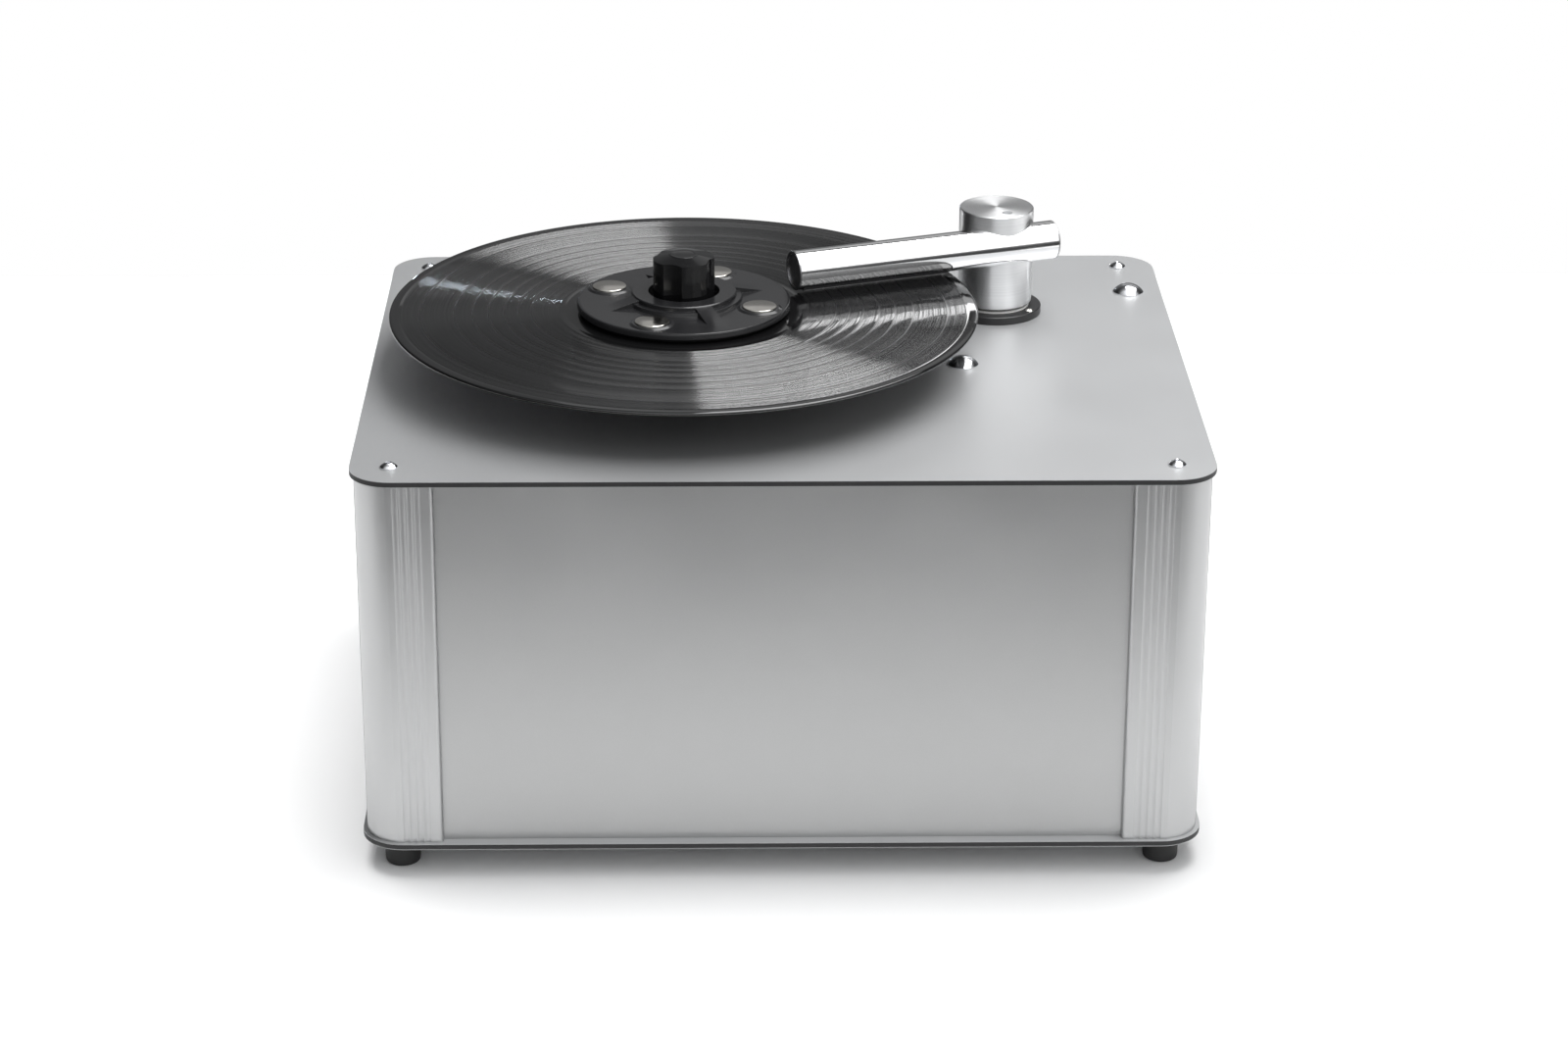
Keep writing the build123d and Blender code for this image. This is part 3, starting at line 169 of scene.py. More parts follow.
def curve(tree, value, tones):
    """A smooth curve through (value, tone) pairs. A colour stop holds at most 1, so it is scaled."""
    first, last, top = tones[0][0], tones[-1][0], max(tone for _, tone in tones)
    share = result(tree, "ShaderNodeMapRange", {"Value": value, "From Min": first, "From Max": last})
    ramp = put(tree, "ShaderNodeValToRGB", {0: share})
    stops = ramp.color_ramp.elements
    for i, (place, tone) in enumerate(tones):
        where = (place - first) / (last - first)
        stop = stops[0] if i == 0 else stops[-1] if place == last else stops.new(where)
        stop.position, stop.color = where, (tone / top,) * 3 + (1,)
    return calc(tree, "MULTIPLY", ramp.outputs[0], top)


room = bpy.data.worlds.new("studio_room")
bpy.context.scene.world = room
room.use_nodes = True
tree = room.node_tree
tree.nodes.clear()
way = put(tree, "ShaderNodeSeparateXYZ", {0: put(tree, "ShaderNodeTexCoord").outputs["Generated"]}).outputs
rise = calc(tree, "ARCTAN2", way["Z"], calc(tree, "MULTIPLY", way["Y"], -1.0))
by_rise = curve(tree, calc(tree, "DEGREES", rise), ROOM_TONES)
tone = calc(tree, "MULTIPLY", by_rise, curve(tree, way["X"], SIDE_TONES))
dim = put(tree, "ShaderNodeBackground", {"Color": (0.98, 0.99, 1.0, 1), "Strength": tone})
white = put(tree, "ShaderNodeBackground", {"Color": (1, 1, 1, 1), "Strength": 1.0})
seen = put(tree, "ShaderNodeLightPath").outputs["Is Camera Ray"]
both = put(tree, "ShaderNodeMixShader", {0: seen, 1: dim.outputs[0], 2: white.outputs[0]})
put(tree, "ShaderNodeOutputWorld", {"Surface": both.outputs[0]})
bpy.context.scene.view_settings.view_transform = "Standard"
print("room tones", len(ROOM_TONES), "up and over,", len(SIDE_TONES), "from side to side")


# %% Table top
def flat_sheet(name, x0, x1, y0, y1, z):
    """A rectangle that faces up, in metres."""
    mesh = bpy.data.meshes.new(name)
    mesh.from_pydata([(x0, y0, z), (x1, y0, z), (x1, y1, z), (x0, y1, z)], [], [(0, 1, 2, 3)])
    made = bpy.data.objects.new(name, mesh)
    bpy.context.scene.collection.objects.link(made)
    return made


floor = flat_sheet("table_top", x0=-1.6, x1=1.6, y0=-0.50, y1=0.75, z=0.0)
floor_paint = bpy.data.materials.new("table_white")
floor_paint.use_nodes = True
matt = floor_paint.node_tree.nodes["Principled BSDF"]
for socket, value in {"Base Color": (0.9, 0.9, 0.9, 1), "Roughness": 0.9, "Specular IOR Level": 0.1}.items():
    matt.inputs[socket].default_value = value
floor.data.materials.append(floor_paint)
print("table", [round(s, 2) for s in floor.dimensions])


# %% Lamps
def soft_box(name, place, target, width, height, watts, colour=(1, 1, 1)):
    """A rectangular lamp at place that faces target, in metres."""
    data = bpy.data.lights.new(name, "AREA")
    data.shape = "RECTANGLE"
    data.size, data.size_y = width, height
    data.energy, data.color = watts, colour
    lamp = bpy.data.objects.new(name, data)
    bpy.context.scene.collection.objects.link(lamp)
    aim = (Vector(target) - Vector(place)).to_track_quat("-Z", "Y")
    lamp.matrix_world = Matrix.Translation(place) @ aim.to_matrix().to_4x4()
    lamp.visible_camera = False
    return lamp


def lights_only(lamp, *, table, shadows=True):
    """Lets a lamp reach only the table, or everything but the table."""
    group = bpy.data.collections.new(lamp.name + "_reach")
    group.objects.link(floor)
    if not table:
        group.collection_objects[0].light_linking.link_state = "EXCLUDE"
    lamp.light_linking.receiver_collection = group
    if not shadows:
        lamp.light_linking.blocker_collection = group


overhead = soft_box("overhead_box", place=(0.66, 0.125, 1.65), target=(0.66, 0.125, 0.0),
                    width=1.28, height=2.05, watts=45)
lights_only(overhead, table=False)
soft_box("back_over", place=(0.7, 2.2, 1.6), target=(0.2, 0.0, 0.3), width=2.0, height=0.9, watts=1.6)
soft_box("right_front", place=(1.86, -1.56, 1.34), target=(0.0, 0.0, 0.6), width=1.6, height=1.55, watts=8.2)
soft_box("streak_lamp", place=(-0.707, 2.91, 0.553), target=(0.0, 0.0, 0.24),
         width=0.02, height=0.08, watts=0.8, colour=(0.80, 0.89, 1.0))
table_back = soft_box("table_back", place=(0.0, 0.25, 1.9), target=(0.0, 0.0, 0.0),
                      width=1.8, height=0.9, watts=48)
lights_only(table_back, table=True)
table_glow = soft_box("table_glow", place=(0.0, 0.0, 2.2), target=(0.0, 0.0, 0.0),
                      width=3.0, height=3.0, watts=6)
lights_only(table_glow, table=True, shadows=False)

# %% [markdown]
# ## How a finish is made
#
# Every finish but vinyl is one Principled shader. What is the same all over the surface,
# such as how metallic it is, is a plain number on the shader. What varies comes from noise
# at the size of the real thing: a grain of a few tenths of a millimetre, and slow shading
# over some centimetres. The noise reads Object coordinates, which are metres here, so a
# grain of 0.4 mm is a noise scale of 2500. A stretch turns the grain into drawn lines, and
# reading the distance from an axis turns it into the rings that a lathe leaves.

# %% Helpers for finishes
# A Mix node has sockets for every kind of data, so they go by number.
MIX_FACTOR, VECTOR_A, VECTOR_B, COLOUR_A, COLOUR_B = 0, 4, 5, 6, 7
MIXED_VECTOR, MIXED_COLOUR = 1, 2


def object_place(tree):
    return put(tree, "ShaderNodeTexCoord").outputs["Object"]


def from_axis(tree, axis):
    """The horizontal vector from an upright axis, given in millimetres, and its length."""
    away = vector(tree, "SUBTRACT", object_place(tree), (axis[0] * MM, axis[1] * MM, 0.0))
    flat = vector(tree, "MULTIPLY", away, (1, 1, 0))
    distance = put(tree, "ShaderNodeVectorMath", {0: flat}, operation="LENGTH").outputs["Value"]
    return flat, distance


def round_axis(tree, axis):
    """Distance from an upright axis, and level: a place that makes noise run in rings."""
    level = put(tree, "ShaderNodeSeparateXYZ", {0: object_place(tree)}).outputs["Z"]
    return result(tree, "ShaderNodeCombineXYZ", {"X": from_axis(tree, axis)[1], "Z": level})


def to_world(tree, direction):
    """A direction on the piece, as the world sees it."""
    return result(tree, "ShaderNodeVectorTransform", {0: direction}, vector_type="VECTOR",
                  convert_from="OBJECT", convert_to="WORLD")


def noise_of(tree, where, scale, detail=2.0):
    return result(tree, "ShaderNodeTexNoise", {"Vector": where, "Scale": scale, "Detail": detail})


def spread(tree, value, low, high, start=0.3, end=0.7):
    """Maps start..end of a value, by default the range that most noise is in, to low..high."""
    inputs = {"Value": value, "From Min": start, "From Max": end, "To Min": low, "To Max": high}
    return result(tree, "ShaderNodeMapRange", inputs)


def shades(tree, factor, colour, amount):
    """The colour a little darker where the factor is low and lighter where it is high."""
    dark = tuple(c * (1 - amount) for c in colour) + (1,)
    light = tuple(min(1.0, c * (1 + amount)) for c in colour) + (1,)
    inputs = {MIX_FACTOR: factor, COLOUR_A: dark, COLOUR_B: light}
    return put(tree, "ShaderNodeMix", inputs, data_type="RGBA").outputs[MIXED_COLOUR]


def relief(tree, height, depth):
    """A normal bent by a height field that is depth millimetres deep."""
    return result(tree, "ShaderNodeBump", {"Height": height, "Distance": depth * MM, "Strength": 1.0})


def link(tree, shader, results):
    """Links results to a shader's sockets, by name."""
    for socket, value in results.items():
        tree.links.new(value, shader.inputs[socket])


# %% The usual finish
finishes = {}


def new_finish(name, colour, roughness, metallic=0.0, **sockets):
    """A named material with plain numbers on its Principled shader."""
    material = bpy.data.materials.new(name)
    material.use_nodes = True
    material.diffuse_color = (*colour, 1)
    shader = material.node_tree.nodes["Principled BSDF"]
    numbers = {"Base Color": (*colour, 1), "Roughness": roughness, "Metallic": metallic, **sockets}
    for socket, value in numbers.items():
        shader.inputs[socket].default_value = value
    finishes[name] = material
    return material.node_tree, shader


def grained(name, colour, roughness, metallic=0.0, grain=2500, depth=0.002, shade=0.05, vary=0.05,
            stretch=(1, 1, 1), cloud=14, axis=None):
    """Fine grain in relief and roughness, and slow shading in the colour. depth is in mm."""
    tree, shader = new_finish(name, colour, roughness, metallic)
    where = round_axis(tree, axis) if axis else object_place(tree)
    fine = noise_of(tree, result(tree, "ShaderNodeMapping", {"Vector": where, "Scale": stretch}), grain)
    broad = noise_of(tree, object_place(tree), cloud, 3.0)
    mixed = calc(tree, "ADD", calc(tree, "MULTIPLY", fine, 0.4), calc(tree, "MULTIPLY", broad, 0.6))
    link(tree, shader, {
        "Base Color": shades(tree, spread(tree, mixed, 0, 1), colour, shade),
        "Roughness": spread(tree, mixed, max(0.02, roughness - vary), roughness + vary),
        "Normal": relief(tree, fine, depth)})


# %% [markdown]
# ## The plain finishes
#
# Sheet aluminium is blasted and anodised, so its grain has no direction. The corner posts
# are extruded, and the die leaves faint upright lines. Rubber and moulded plastic differ
# mostly in roughness and in the size of their texture. A table keeps all of these apart
# from the special ones, which get their own cells below.

# %% The table of grained finishes
UPRIGHT_LINES = (1.0, 1.0, 0.02)
grained("anodised_sheet", (0.45, 0.455, 0.461), 0.40, 0.5, grain=2600, depth=0.004, shade=0.02, vary=0.03)
grained("panel_sheet", (0.44, 0.442, 0.443), 0.42, 1.0, grain=1500, depth=0.010, shade=0.05, vary=0.04)
grained("anodised_post", (0.47, 0.473, 0.476), 0.38, 1.0, grain=2400, depth=0.003, shade=0.02,
        stretch=UPRIGHT_LINES)
grained("composite_core", (0.018, 0.018, 0.019), 0.55, grain=1400, depth=0.02, stretch=(1, 1, 6), shade=0.3)
grained("foot_rubber", (0.018, 0.018, 0.018), 0.62, grain=1800, depth=0.02, shade=0.25)
grained("zinc_screw", (0.80, 0.81, 0.83), 0.16, 1.0, grain=1500, depth=0.002, shade=0.06)
grained("steel_screw", (0.62, 0.61, 0.58), 0.24, 1.0, grain=1800, depth=0.003, shade=0.08)
grained("platter_alloy", (0.42, 0.42, 0.43), 0.35, 1.0, grain=4000, depth=0.006, axis=SPINDLE)
grained("mat_rubber", (0.02, 0.02, 0.02), 0.7, grain=1600, depth=0.03, shade=0.2)
grained("spindle_steel", (0.66, 0.66, 0.67), 0.2, 1.0, grain=3000, depth=0.002, axis=SPINDLE)
grained("end_cap_alloy", (0.30, 0.30, 0.305), 0.3, 1.0, grain=2600, depth=0.002, shade=0.1)
grained("bearing_alloy", (0.55, 0.55, 0.56), 0.36, 1.0, grain=3000, depth=0.005, axis=SPINDLE)
grained("bronze", (0.55, 0.36, 0.16), 0.42, 1.0, grain=2200, depth=0.012, shade=0.18)
grained("ptfe", (0.82, 0.82, 0.80), 0.38, grain=900, depth=0.004, shade=0.03)
grained("gearbox_casting", (0.16, 0.17, 0.19), 0.55, 0.6, grain=900, depth=0.05, shade=0.2)
grained("motor_can", (0.035, 0.035, 0.04), 0.34, grain=700, depth=0.01, shade=0.2)
grained("clamp_black", (0.013, 0.013, 0.014), 0.2, grain=2600, depth=0.003, shade=0.15)
grained("seal_rubber", (0.014, 0.014, 0.014), 0.6, grain=1500, depth=0.01, shade=0.2)
grained("knob_black", (0.006, 0.006, 0.0065), 0.11, grain=2600, depth=0.0005, shade=0.2, vary=0.03)
grained("flange_black", (0.02, 0.02, 0.021), 0.38, grain=2600, depth=0.006, shade=0.2)
grained("spring_steel", (0.55, 0.55, 0.56), 0.28, 1.0, grain=3000, depth=0.002, shade=0.1)
grained("tank_poly", (0.78, 0.78, 0.73), 0.42, grain=500, depth=0.02, shade=0.04, cloud=25)
grained("blower_poly", (0.05, 0.05, 0.055), 0.45, grain=1300, depth=0.02, shade=0.2)
grained("fan_poly", (0.20, 0.20, 0.22), 0.4, grain=1200, depth=0.01, shade=0.1)
grained("motor_steel", (0.42, 0.42, 0.43), 0.4, 1.0, grain=1500, depth=0.02, shade=0.12,
        stretch=(0.05, 0.05, 1))
grained("duct_poly", (0.06, 0.06, 0.06), 0.5, grain=1200, depth=0.02, shade=0.2)
grained("switch_black", (0.02, 0.02, 0.02), 0.42, grain=1800, depth=0.02, shade=0.2)
grained("rocker_black", (0.015, 0.015, 0.016), 0.22, grain=1400, depth=0.004, shade=0.2)
grained("inlet_black", (0.016, 0.016, 0.016), 0.4, grain=1600, depth=0.02, shade=0.2)
grained("board_green", (0.03, 0.16, 0.07), 0.35, grain=700, depth=0.02, shade=0.25, cloud=60)
grained("nylon", (0.80, 0.80, 0.76), 0.45, grain=900, depth=0.01, shade=0.03)
print(len(finishes), "grained finishes")


# %% [markdown]
# ## Turned metal
#
# A lathe tool leaves rings on the pillar, so it shines in a fan on its flat top and in
# tall soft stripes down its side. The Principled shader's anisotropy stretches a highlight
# across the tool marks, if it is told which way they run. On the top face that direction
# is straight out from the axis, and on the side it is upright, so the two are blended by
# how far the surface faces up.

# %% Turned metal
def across_marks(tree, axis):
    """World direction at right angles to the lathe marks round an upright axis."""
    outward = vector(tree, "NORMALIZE", from_axis(tree, axis)[0])
    facing = put(tree, "ShaderNodeTexCoord").outputs["Normal"]
    facing_up = calc(tree, "ABSOLUTE", put(tree, "ShaderNodeSeparateXYZ", {0: facing}).outputs["Z"])
    inputs = {MIX_FACTOR: facing_up, VECTOR_A: (0, 0, 1), VECTOR_B: outward}
    return to_world(tree, put(tree, "ShaderNodeMix", inputs, data_type="VECTOR").outputs[MIXED_VECTOR])


def turned_metal(name, colour, roughness, axis, ring, depth, stretched):
    """Metal with lathe marks round an axis: ring is their noise scale, depth is in mm."""
    tree, shader = new_finish(name, colour, roughness, 1.0, Anisotropic=stretched)
    marks = noise_of(tree, round_axis(tree, axis), ring, 3.0)
    broad = noise_of(tree, object_place(tree), 40)
    link(tree, shader, {
        "Base Color": shades(tree, spread(tree, marks, 0, 1), colour, 0.05),
        "Roughness": spread(tree, broad, roughness - 0.04, roughness + 0.04),
        "Normal": relief(tree, marks, depth),
        "Tangent": across_marks(tree, axis)})


turned_metal("pillar_alloy", (0.90, 0.905, 0.91), 0.34, PILLAR, ring=1800, depth=0.0015, stretched=0.7)


# %% Drawn metal
def drawn_metal(name, colour, roughness, lines, depth):
    """Polished tube with faint lines along the arm: lines is their noise scale, depth is in mm."""
    tree, shader = new_finish(name, colour, roughness, 1.0)
    in_arm = put(tree, "ShaderNodeMapping", {"Vector": object_place(tree), "Rotation": (0, 0, -ARM_ANGLE)})
    in_arm.vector_type = "TEXTURE"
    along = result(tree, "ShaderNodeMapping", {"Vector": in_arm.outputs[0], "Scale": (0.02, 1, 1)})
    smudge = noise_of(tree, object_place(tree), 30, 3.0)
    link(tree, shader, {
        "Base Color": shades(tree, spread(tree, smudge, 0, 1), colour, 0.02),
        "Roughness": spread(tree, smudge, roughness - 0.02, roughness + 0.03),
        "Normal": relief(tree, noise_of(tree, along, lines), depth)})


drawn_metal("tube_polish", (0.90, 0.90, 0.905), 0.10, lines=3000, depth=0.001)


# %% Nickel on the clamp's magnets
def nickel():
    """Bright plate with a few fine scratches, all in one direction."""
    colour = (0.70, 0.675, 0.63)
    tree, shader = new_finish("magnet_nickel", colour, 0.24, 1.0)
    place = object_place(tree)
    drawn = result(tree, "ShaderNodeMapping", {"Vector": place, "Scale": (1, 0.08, 1)})
    scratches = noise_of(tree, drawn, 2500)
    cloud = noise_of(tree, place, 120, 4.0)
    link(tree, shader, {
        "Base Color": shades(tree, spread(tree, cloud, 0, 1), colour, 0.06),
        "Roughness": spread(tree, scratches, 0.12, 0.18),
        "Normal": relief(tree, scratches, 0.0003)})


nickel()


# %% [markdown]
# ## Vinyl
#
# A record is almost black, and all that one sees is gloss. A groove is a valley with two
# glossy walls, one that leans towards the spindle and one that leans away from it, with a
# strip of flat land between it and the next. The walls scatter light in and out along the
# radius and hardly at all sideways, and that makes bright wedges. So the finish mixes three
# shaders: two leaning walls that are stretched by anisotropy, and a smooth land. Rings of
# noise, from the width of a song down to a few grooves, change the lean, the gloss and the
# share of the walls, and make the broken bands. The rim, the gaps between songs and the
# run-out near the label have land alone, which is a little rougher in the gaps.

# %% Vinyl
GROOVES_FROM, GROOVES_TO = 64.0, RECORD_R - 6.0
GROOVES_EDGE = 0.25  # half the width over which the grooves begin or end
SONG_GAPS = (135.2, 117.7, 108.4, 100.3, 92.1, 85.0, 78.2)
GAP_FLAT, GAP_EDGE = 0.25, 0.6  # from a gap's middle to where grooves begin and are full
WALL_SLOPES = (0.55 * 0.87, 0.55 * 1.13)  # rise over run, from quiet grooves to loud ones
WALL_ROUGH = (0.165, 0.205)
WALL_SHARE = (0.3, 0.95)  # how much of the grooved face is wall, in dull bands and in bright ones
BAND_EDGES = (0.38, 0.62)  # the noise at which a band is dull, and at which it is bright
GAP_ROUGH, LAND_ROUGH = 0.3, 0.07


def vinyl():
    colour = (0.005, 0.005, 0.0053)
    glossy = {"Anisotropic": 1.0, "IOR": 1.8, "Specular IOR Level": 1.0}
    tree, outer = new_finish("vinyl", colour, 0.3, **glossy)
    inner = put(tree, "ShaderNodeBsdfPrincipled", glossy)
    land = put(tree, "ShaderNodeBsdfPrincipled", {"Anisotropic": 1.0, "IOR": 1.7})
    flat, distance = from_axis(tree, SPINDLE)
    radius = calc(tree, "MULTIPLY", distance, 1 / MM)

    def rings(scale, detail=2.0):
        """Noise that changes only with the distance from the spindle."""
        inputs = {"W": calc(tree, "MULTIPLY", radius, scale), "Scale": 1.0, "Detail": detail}
        return result(tree, "ShaderNodeTexNoise", inputs, noise_dimensions="1D")

    def eased(value, start, end):
        """0 up to start, 1 from end on, and smooth between them."""
        inputs = {"Value": value, "From Min": start, "From Max": end}
        return result(tree, "ShaderNodeMapRange", inputs, interpolation_type="SMOOTHSTEP")

    songs = 1.0
    for gap in SONG_GAPS:
        away = calc(tree, "ABSOLUTE", calc(tree, "SUBTRACT", radius, gap))
        songs = calc(tree, "MULTIPLY", songs, eased(away, GAP_FLAT, GAP_EDGE))
    begun = eased(radius, GROOVES_FROM - GROOVES_EDGE, GROOVES_FROM + GROOVES_EDGE)
    ended = eased(radius, GROOVES_TO - GROOVES_EDGE, GROOVES_TO + GROOVES_EDGE)
    grooved = calc(tree, "MULTIPLY", begun, calc(tree, "SUBTRACT", 1.0, ended))
    grooved = calc(tree, "MULTIPLY", grooved, songs)
    covered = calc(tree, "MULTIPLY", grooved, spread(tree, rings(1.0, 4.0), *WALL_SHARE, *BAND_EDGES))

    wide, narrow = calc(tree, "MULTIPLY", rings(0.3), 0.4), calc(tree, "MULTIPLY", rings(1.5, 3.0), 0.6)
    loud = calc(tree, "ADD", wide, narrow)
    slope = spread(tree, loud, *WALL_SLOPES)
    wall_rough = spread(tree, loud, *WALL_ROUGH)
    land_rough = spread(tree, songs, GAP_ROUGH, LAND_ROUGH, 0.0, 1.0)
    shade = shades(tree, loud, colour, 0.3)
    radial = to_world(tree, flat)
    outward = vector(tree, "NORMALIZE", radial)
    facing = put(tree, "ShaderNodeNewGeometry").outputs["Normal"]
    for shader, way in ((outer, 1.0), (inner, -1.0), (land, 0.0)):
        inputs = {0: outward, "Scale": calc(tree, "MULTIPLY", slope, way)}
        lean = result(tree, "ShaderNodeVectorMath", inputs, operation="SCALE")
        link(tree, shader, {
            "Base Color": shade,
            "Roughness": wall_rough if way else land_rough,
            "Normal": vector(tree, "NORMALIZE", vector(tree, "ADD", facing, lean)),
            "Tangent": radial})
    walls = put(tree, "ShaderNodeMixShader", {0: 0.5, 1: outer.outputs[0], 2: inner.outputs[0]})
    whole = put(tree, "ShaderNodeMixShader", {0: covered, 1: land.outputs[0], 2: walls.outputs[0]})
    link(tree, tree.nodes["Material Output"], {"Surface": whole.outputs[0]})


vinyl()


# %% Label paper and velvet
def label_paper():
    """Uncoated paper with faint rings, and fibres in relief."""
    colour = (0.62, 0.58, 0.47)
    tree, shader = new_finish("label_paper", colour, 0.7)
    fibre = noise_of(tree, object_place(tree), 900, 4.0)
    band = calc(tree, "SINE", calc(tree, "MULTIPLY", from_axis(tree, SPINDLE)[1], 900.0))
    both = calc(tree, "ADD", fibre, calc(tree, "MULTIPLY", band, 0.05))
    link(tree, shader, {
        "Base Color": shades(tree, spread(tree, both, 0, 1), colour, 0.08),
        "Normal": relief(tree, fibre, 0.02)})


def velvet():
    """Black pile, with the sheen of fibres seen from the side."""
    colour = (0.010, 0.010, 0.011)
    sheen = {"Sheen Weight": 0.6, "Sheen Roughness": 0.4}
    tree, shader = new_finish("velvet", colour, 0.85, **sheen)
    pile = noise_of(tree, object_place(tree), 3500, 3.0)
    link(tree, shader, {"Base Color": shades(tree, pile, colour, 0.5), "Normal": relief(tree, pile, 0.08)})


label_paper()
velvet()
print(len(finishes), "finishes in all")

# %% [markdown]
# ## Cleaning up a copy of a CAD part
#
# A CAD node arrives as loose triangles with knife-sharp edges, and it must not be changed.
# So a copy is made: its doubles are merged, flat triangles are joined into faces, its
# sharp edges get a small bevel, and the copy then stands for the node. Nothing made by
# hand or machine has a truly sharp edge, and the thin highlight on a bevel is what makes
# an edge look real.

# %% Helpers for pieces
scene_objects = bpy.context.scene.collection.objects
SHARP_FROM = 32.0  # an edge that turns by more degrees than this is shown sharp
CAD_MERGE, MERGE = 2e-6, 1e-7  # corners nearer than this, in metres, are one
FLAT_WITHIN = 0.3  # triangles that turn by fewer degrees than this are one face


def add_piece(name, mesh, finish, body, *stood_for, slot=None):
    """Puts a mesh in the scene as a piece that rides on a body and stands for CAD nodes."""
    piece = bpy.data.objects.new(name, mesh)
    scene_objects.link(piece)
    mesh.materials.clear()
    mesh.materials.append(finishes[finish])
    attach(piece, body)
    if stood_for:
        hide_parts(*stood_for)
    return piece


def smooth_by_angle(mesh, angle):
    mesh.shade_smooth()
    mesh.set_sharp_from_angle(angle=math.radians(angle))


def clean_copy(node, bevel, angle, steps):
    """A merged copy of a CAD node's mesh with its sharp edges bevelled by some millimetres."""
    source = nodes[node].data
    mesh = bpy.data.meshes.new(node + "_clean")
    mesh.from_pydata([v.co[:] for v in source.vertices], [], [p.vertices[:] for p in source.polygons])
    work = bmesh.new()
    work.from_mesh(mesh)
    bmesh.ops.remove_doubles(work, verts=work.verts, dist=CAD_MERGE)
    bmesh.ops.dissolve_limit(work, angle_limit=math.radians(FLAT_WITHIN), verts=work.verts, edges=work.edges)
    if bevel:
        limit = math.radians(angle)
        sharp = [e for e in work.edges if len(e.link_faces) == 2 and e.calc_face_angle(0) > limit]
        bmesh.ops.bevel(work, geom=sharp, offset=bevel * MM, offset_type="OFFSET", segments=steps,
                        profile=0.5, affect="EDGES", clamp_overlap=True)
    work.to_mesh(mesh)
    work.free()
    smooth_by_angle(mesh, angle)
    return mesh


def dress(node, finish, bevel=0.0, angle=30.0, steps=2, slot=None):
    """Shows a cleaned copy of a CAD node in the node's place."""
    mesh = clean_copy(node, bevel, angle, steps)
    piece = add_piece(node + "_dressed", mesh, finish, nodes[node]["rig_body"], node, slot=slot)
    # The big flat faces rule the shading, so that a bevel doesn't dim them.
    weighted = piece.modifiers.new("even_normals", "WEIGHTED_NORMAL")
    weighted.mode = "FACE_AREA"
    weighted.weight = 100
    weighted.keep_sharp = True


def paint(finish, *names):
    """Gives CAD nodes a finish and leaves them in sight."""
    for name in names:
        slots = nodes[name].data.materials
        slots.clear()
        slots.append(finishes[finish])


# %% [markdown]
# ## The case
#
# Top and bottom are composite sheet: a black plastic core between two thin aluminium
# skins, which is why a dark line runs round both plates between two bright ones. Four
# fluted corner extrusions hold the panels. All are true in the CAD model, so cleaned
# copies with small bevels are enough.

# %% Plates, posts and panels
for plate in ("top_plate", "bottom_plate"):
    dress(plate + "_skins", "anodised_sheet", bevel=0.07)
    dress(plate + "_core", "composite_core", bevel=0.05)
for corner in ("front_left", "front_right", "rear_left", "rear_right"):
    dress("post_" + corner, "anodised_post", angle=20.0)
for side in ("front", "left", "right", "rear"):
    dress(side + "_panel", "panel_sheet", bevel=0.15)
print("case pieces", len([o for o in scene_objects if o.name.endswith("_dressed")]))


# %% [markdown]
# ## Turning a profile
#
# Feet, screw heads, the record and the knob's cap are all lathe work. A profile is a list
# of points, each a radius and a level, and the mesh is that profile spun round an upright
# axis. A ring may follow a hexagon instead of a circle, which makes a hexagon socket in
# the same way. Corners with a third number are rounded first, so each has its highlight.

# %% Lathe helpers
def rounded_profile(points, steps=3):
    """Replaces each corner that has a third number, its radius, by a short arc."""
    done = []
    for i, point in enumerate(points):
        if len(point) < 3:
            done.append(point)
            continue
        here = Vector(point[:2])
        to_last = Vector(points[i - 1][:2]) - here
        to_next = Vector(points[(i + 1) % len(points)][:2]) - here
        reach = min(point[2], to_last.length / 2, to_next.length / 2)
        a, b = here + to_last.normalized() * reach, here + to_next.normalized() * reach
        for k in range(steps + 1):
            t = k / steps
            done.append(tuple(a * (1 - t) ** 2 + here * 2 * t * (1 - t) + b * t * t))
    return done


def raised(points, level):
    """The same profile, lifted to a level."""
    return [(radius, level + z, *corner) for radius, z, *corner in points]


def ring_radius(radius, angle, sides):
    """Distance from the axis to a polygon whose flats are at radius, or to a circle."""
    if not sides:
        return radius
    sector = 2 * math.pi / sides
    return radius / math.cos(angle % sector - sector / 2)


def turned_mesh(name, profile, axis=(0.0, 0.0), steps=48, hexagons=(), sharp=SHARP_FROM):
    """Spins a closed profile of (radius, level) millimetres. hexagons lists the six-sided rings."""
    work = bmesh.new()
    rings = []
    for number, (radius, level) in enumerate(profile):
        if not radius:
            rings.append([work.verts.new((axis[0] * MM, axis[1] * MM, level * MM))] * steps)
            continue
        ring = []
        for i in range(steps):
            angle = 2 * math.pi * i / steps
            r = ring_radius(radius, angle, 6 if number in hexagons else 0)
            x, y = axis[0] + r * math.cos(angle), axis[1] + r * math.sin(angle)
            ring.append(work.verts.new((x * MM, y * MM, level * MM)))
        rings.append(ring)
    for a, b in zip(rings, rings[1:] + rings[:1]):
        for i in range(steps):
            j = (i + 1) % steps
            corners = list(dict.fromkeys((a[i], a[j], b[j], b[i])))
            if len(corners) > 2:
                work.faces.new(corners)
    bmesh.ops.remove_doubles(work, verts=work.verts, dist=MERGE)
    bmesh.ops.recalc_face_normals(work, faces=work.faces)
    mesh = bpy.data.meshes.new(name)
    work.to_mesh(mesh)
    work.free()
    smooth_by_angle(mesh, sharp)
    return mesh


# %% [markdown]
# ## Repeating parts with Geometry Nodes
#
# A tree of nodes copies one part to the four corners, or round a ring, so a change to the
# part or to a distance is made once. Sizes are the tree's named inputs. The tree ends by
# realising its instances and setting the material, and its result is kept as a plain mesh.

